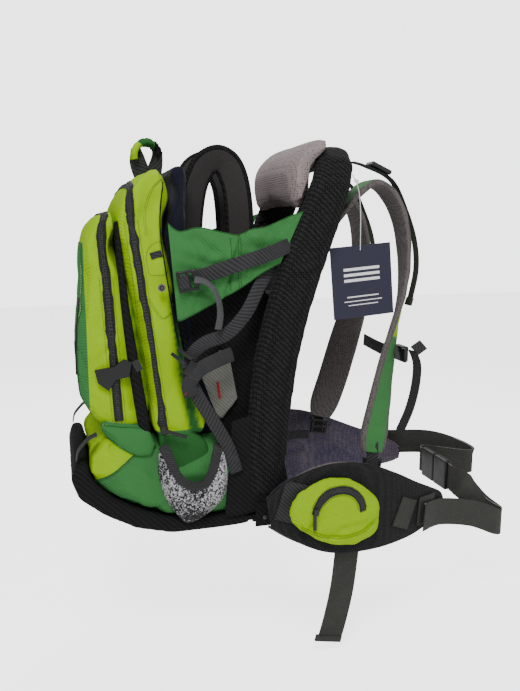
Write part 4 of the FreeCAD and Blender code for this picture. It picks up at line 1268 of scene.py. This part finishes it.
for name, side in sides:
    stations = []
    for x, z, y, turn, width in strapStations:
        facing = (math.sin(math.radians(turn)), -side * math.cos(math.radians(turn)), 0)
        stations.append(((x, side * y, z), facing, width, 13.2))
    strap = padBand("shoulderStrap_" + name, stations, m["strap"], "carrier", ("shoulder_strap_" + name,),
                    90, 3.2, 0.42, 40, strapQuilt, -side)
    wingBody = "wing_" + name
    stations = [((x, side * (wingY + bow), (low + high) / 2 + sag(name, x)), (0, 0, 1), high - low, 17)
                for x, bow, low, high in wingStations]
    wing = padBand("hipWing_" + name, stations, m["wing"], wingBody, ("hip_wing_" + name,), 90, 5, 0.55,
                   56, wingQuilt, -side)
    for sign, edge in ((1, "top"), (-1, "low")):
        rim = [Vector((x, side * (wingY + bow), (high if sign > 0 else low) + sag(name, x) - sign * 1.5)) * mm
               for x, bow, low, high in wingStations]
        tube("wingPiping_" + edge + "_" + name, rim, 2.4 * mm, m["binding"], wingBody, 10)
    radial = [(way + Vector((0, 0.4 * side, 0))).normalized() for way in flatAcross(harnessPath)]
    middle = [Vector((x, side * 54, z)) - way * 16 for (x, z), way in zip(harnessPath, radial)]
    stations = [(tuple(spot), tuple(way), 46, 10) for spot, way in zip(middle, radial)]
    harness = padBand("childStrap_" + name, stations, m["charcoal"], "carrier", ("child_strap_" + name,),
                      90, 4, 0.5, 28)
    for sign in (-1, 1):
        rim = [(spot + way * sign * 20.5) * mm for spot, way in zip(middle, radial)]
        tube("harnessBinding" + str(sign) + "_" + name, rim, 5.2 * mm, m["black"], "carrier", 10)
    ribbon("loadLifter_" + name, onSide(side, 93, lifterPath), acrossY, 20, 1.8, m["webbing"], "carrier",
           ("load_lifter_" + name,))
    foldedEnd("lifterEnd_" + name, (239, side * 93, 288), acrossY, (-0.3, 0, -1), (22, 15, 4.6), m["webbing"],
              "carrier")
    route = [(x, side * y, z) for x, z, y in stirrupPath]
    ribbon("stirrup_" + name, route, flatAcross(route), 23, 2.2, m["webbing"], "carrier", ("stirrup_" + name,),
           90, cup=1.5)
    route = [(x, side * y, z) for x, z, y in knotPath]
    ribbon("stirrupKnot_" + name, route, flatAcross(route), 25, 2, m["elastic"], "carrier",
           count=60, cup=3)
    for number, (x, z, turn) in enumerate(((-216, 212, 40), (-205, 220, 40), (-196, 196, 12))):
        block("stirrupProng" + str(number) + "_" + name, (x, side * 156, z), (30, 4, 6), m["plastic"], "carrier",
              turned(turn, "Y"))
    block("stirrupLock_" + name, (-190, side * 157, 190), (30, 7, 26), m["plastic"], "carrier", turned(35, "Y"))
    red = [Vector((-196 - 10 * step / 9, side * (157.5 - 0.3 * step), 178 - 30 * step / 9)) * mm
           for step in range(10)]
    tube("redStitch_" + name, red, 0.9 * mm, m["redThread"], "carrier", 6)
    mark = [Vector((-140 + 0.4 * step, side * 113.5, 158 - 3.2 * step)) * mm for step in range(10)]
    tube("redMark_" + name, mark, 2.2 * mm, m["redThread"], "carrier", 6)
    ribbon("sideStrap_" + name, mirrored(side, sideStrapPath), (-0.28, 0, 1), 25, 1.8, m["webbing"], "carrier",
           ("side_strap_" + name,))
    ribbon("sideTail_" + name, mirrored(side, sideTailPath), sideTailWays, 13, 1.8, m["tail"], "carrier",
           cup=1.5)
    ribbon("lockWrap_" + name, mirrored(side, lockWrapPath), (-0.17, 0, 1), 23, 1.6, m["webbing"], "carrier")
    block("lockBar_" + name, (-185, side * 157, 345.5), (9, 5, 27), m["plastic"], "carrier", turned(-16, "Y"))
    belt = [(x, side * (wingY + bow), z) for (x, bow), z in zip(beltPlan, beltDrop[name])]
    belt += [(367, side * 69.5, -89), (367, side * 50, -88)]
    ribbon("beltLoop_" + name, belt, (0, 0, 1), 54, 1.8, m["belt"], wingBody, ("belt_webbing_" + name,),
           130, columns=10)
    for sign in (-1, 1):
        edge = [Vector((x, y, z + sign * 26.6)) * mm for x, y, z in belt]
        tube("beltThread" + str(sign) + "_" + name, edge, 0.7 * mm, m["greyThread"], wingBody, 5, 130)
    ribbon("stabiliser_" + name, mirrored(side, stabiliserPath), (0, 0, 1), 20, 1.8, m["webbing"], "carrier")
    ribbon("strapFoot_" + name, mirrored(side, strapFootPath), (0.98, 0, 0.1), 24, 1.8, m["webbing"], "carrier")
stabilisers = [bpy.data.objects["stabiliser_left"], bpy.data.objects["stabiliser_right"]]
joined("lowerWebbing", stabilisers, "carrier", ("lower_webbing",))
haulWays = [Vector((1, -0.5, 0.5)), Vector((0.9, -0.8, 0.5)), Vector((0.2, -1, 0.1)), Vector((0, -1, 0)),
            Vector((0.4, -1, 0)), Vector((0.9, -0.5, 0.2))]
haulWrap = ((-262, 546, 34), (-262, 560, 40), (-252, 573, 36), (-238, 576, 42), (-224, 568, 38), (-219, 554, 34))
ribbon("haulLoop", onSide(0, 0, haulPath), haulWays, 34, 3, m["webbing"], "carrier", ("haul_loop",))
wrap = [((x, 0, z), acrossY, width, 11) for x, z, width in haulWrap]
padBand("haulWrap", wrap, m["wrap"], "carrier", (), 40, 3, 0.5, 24,
        lambda a, v, outward: 3.4 * noise.noise(Vector((a * 3, v * 11, 2))))
chest = [(228, 84, 188), (231, 20, 182), (231, -20, 182), (228, -66, 188)]
tail = [(240, -112, 196), (254, -106, 166), (256, -98, 120), (248, -92, 74), (231, -88, 30)]
pieces = [ribbon("chestWebbing", chest, (0, 0, 1), 25, 1.8, m["webbing"], "sternum"),
          ribbon("chestTail", tail, (-0.3, 0.95, 0), 22, 1.8, m["webbing"], "sternum")]
joined("sternumStrap", pieces, "sternum", ("sternum_strap",))
foldedEnd("chestEnd", (250, -118, 202), (0.5, -0.2, -0.6), (0.8, -0.1, 0.55), (22, 22, 3), m["webbing"], "sternum")
hang = [(92, -169.5, -128), (82, -169.5, -226), (70, -169.5, -288), (57, -169.5, -336)]
ribbon("hangingStrap", hang, (0.985, 0, -0.17), 48, 2.2, m["belt"], "belt_tail", ("hanging_strap",),
       60, columns=10)
foldedEnd("hangingEnd", (55, -169.5, -335), (0.96, 0, -0.2), (-0.25, 0, -0.96), (52, 12, 5.5), m["belt"],
          "belt_tail")
print("webbing and pads made")


# bottle pockets in stretch net

netEdge = {
    "low": [(-250, 46), (-251, 6), (-240, -36), (-218, -70), (-200, -84), (-164, -68), (-136, -38), (-131, 8),
            (-138, 48)],
    "top": [(-243, 58), (-235, 40), (-224, 12), (-208, -6), (-190, -12), (-172, -7), (-160, 14), (-153, 38),
            (-147, 54)],
}
for name, side in sides:
    lowLine = smoothPath([(x, 0, z) for x, z in netEdge["low"]], 60)
    topLine = smoothPath([(x, 0, z) for x, z in netEdge["top"]], 60)

    def netPlace(u, v):
        spot = sampled(lowLine, u).lerp(sampled(topLine, u), v)
        bulge = max(1 - abs(2 * u - 1) ** 2.4, 0) ** 0.6 * min(v * 2.2, 1) ** 0.6 * (1 - 0.28 * v)
        pucker = 1.2 * noise.noise(Vector((u * 9, v * 6, side))) * min(v * 3, 1)
        return Vector((spot.x, side * (141.5 + 29 * bulge + pucker * bulge), spot.z)) * mm

    net = addPiece("bottleNet_" + name, mappedGrid(56, 36, netPlace, False, (0.2, 0.16)), m["net"], "carrier",
                   ("mesh_pocket_" + name,))
    thicken(net, 1.8)
    rimPoints = [netPlace(step / 16, 1) / mm for step in range(17)]
    stations = [(tuple(spot), tuple(way), 17, 5) for spot, way in zip(rimPoints, flatAcross(rimPoints))]
    padBand("pocketElastic_" + name, stations, m["elastic"], "carrier", (), 150, 3, 0.5, 20,
            lambda a, v, outward: 0.7 * math.sin(v * 260))
print("bottle pockets knitted")


# hip belt trim

hip = {
    "centre": (54, -70), "zip": (46, (2, 25, 48, 70, 92, 115, 138, 158, 172)),
    "rings": ((54, (8, 40, 75, 110, 145, 165)), (37, (8, 40, 75, 110, 145, 165))),
    "hem": [(-14, -88), (20, -104), (60, -110), (100, -102), (124, -84)],
    "wrap": (-22, 175, -52), "tab": (204, 160, -92), "flap": (262, 140, -96),
}


def hipArc(name, side, radius, degrees):
    # places on a circle about the middle of a hip pocket, clear of its wall
    x, z = hip["centre"]
    z += sag(name, x)
    return [(x + radius * math.cos(math.radians(t)), side * 200, z + radius * math.sin(math.radians(t)))
            for t in degrees]


for name, side in sides:
    body = "wing_" + name
    way = Vector((0, -side, 0))
    hipTree = treeOf(pads["hip" + name])
    wingTree = treeOf(bpy.data.objects["hipWing_" + name])
    zipOn("hipZip_" + name, hipTree, way, hipArc(name, side, *hip["zip"]), body, 13)
    for ring in hip["rings"]:
        stitch(hipTree, way, hipArc(name, side, *ring), body, "darkThread")
    hem = [(x, side * 200, z + sag(name, x)) for x, z in hip["hem"]]
    seam("hipHem_" + name, hipTree, way, hem, 1.4, m["limePiping"], body)
    stitch(hipTree, way, [(x, y, z - 5) for x, y, z in hem], body, "darkThread")
    x, y, z = hip["wrap"]
    patch("wingWrap_" + name, wingTree, way, (x, side * y, z), ((0.96, 0, -0.28), (0.28, 0, 0.96)), (46, 74, 2.2),
          m["webbing"], body, 0.8)
    x, y, z = hip["tab"]
    patch("wingTab_" + name, wingTree, way, (x, side * y, z + sag(name, x)), ((0.9, 0, -0.42), (0.42, 0, 0.9)),
          (40, 58, 2.4), m["belt"], body, 0.8)
    x, y, z = hip["flap"]
    patch("wingFlap_" + name, wingTree, way, (x, side * y, z + sag(name, x)), ((1, 0, -0.1), (0.1, 0, 1)),
          (46, 56, 2.4), m["belt"], body, 1.6)
print("hip belt trimmed")


# tag and its string

stringRoute = [(104, -121.5, 519), (112, -122, 508), (119, -122.3, 486), (122, -121.7, 452), (122.5, -121.5, 420),
               (123, -121.5, 386.8)]
curve = bpy.data.curves.new("tagString", "CURVE")
curve.dimensions = "3D"
spline = curve.splines.new("NURBS")
spline.points.add(len(stringRoute) - 1)
for knot, place in zip(spline.points, stringRoute):
    knot.co = (*(c * mm for c in place), 1)
spline.order_u = 3
spline.use_endpoint_u = True
curve.bevel_depth = 0.8 * mm
curve.bevel_resolution = 3
curve.materials.append(m["string"])
string = bpy.data.objects.new("tagString", curve)
bpy.context.scene.collection.objects.link(string)
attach(string, "tag")
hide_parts("tag_string")
nodes["swing_tag"].material_slots[0].material = m["card"]
# printed bars: how far below the hole, width and height
card = {"hole": (123, -121.5, 388), "lean": 5,
        "bars": ((34, 70, 5), (44, 70, 5), (54, 70, 5), (84, 62, 2.2), (92, 74, 1.6), (99, 58, 1.6))}
stand = Matrix.Translation(Vector(card["hole"]) * mm) @ turned(-card["lean"], "Y")
bm = bmesh.new()
for down, width, height in card["bars"]:
    cubeAt(bm, stand @ Matrix.Translation(Vector((0, -0.55, -down)) * mm), (width, 0.15, height))
addPiece("tagPrint", bm, m["print"], "tag", smooth=False)
block("stringLabel", (112, -122.6, 508), (9, 0.5, 6), m["print"], "tag", turned(20, "Y"))
print("tag hung")


# finishes of the pieces that keep their shape

finishes = {
    "alloy": ("frame_tube", "frame_crossbars"),
    "black": ("kickstand_tube", "hinge_bracket_left", "hinge_bracket_right"),
    "steel": ("hinge_pins", "press_snaps"),
    "plastic": ("side_ladderlocks", "strap_ladderlocks", "lifter_buckles", "child_buckle", "compression_clips",
                "belt_buckle_left", "belt_buckle_right", "sternum_buckle", "main_zip_slider", "front_zip_slider",
                "rear_zip_slider", "hip_zip_slider_left", "hip_zip_slider_right"),
    "webbing": ("compression_straps", "stand_straps"),
}
for finish, kept in finishes.items():
    for node in kept:
        for holder in nodes[node].material_slots:
            holder.material = m[finish]
sewThreads()
print("scene ready")
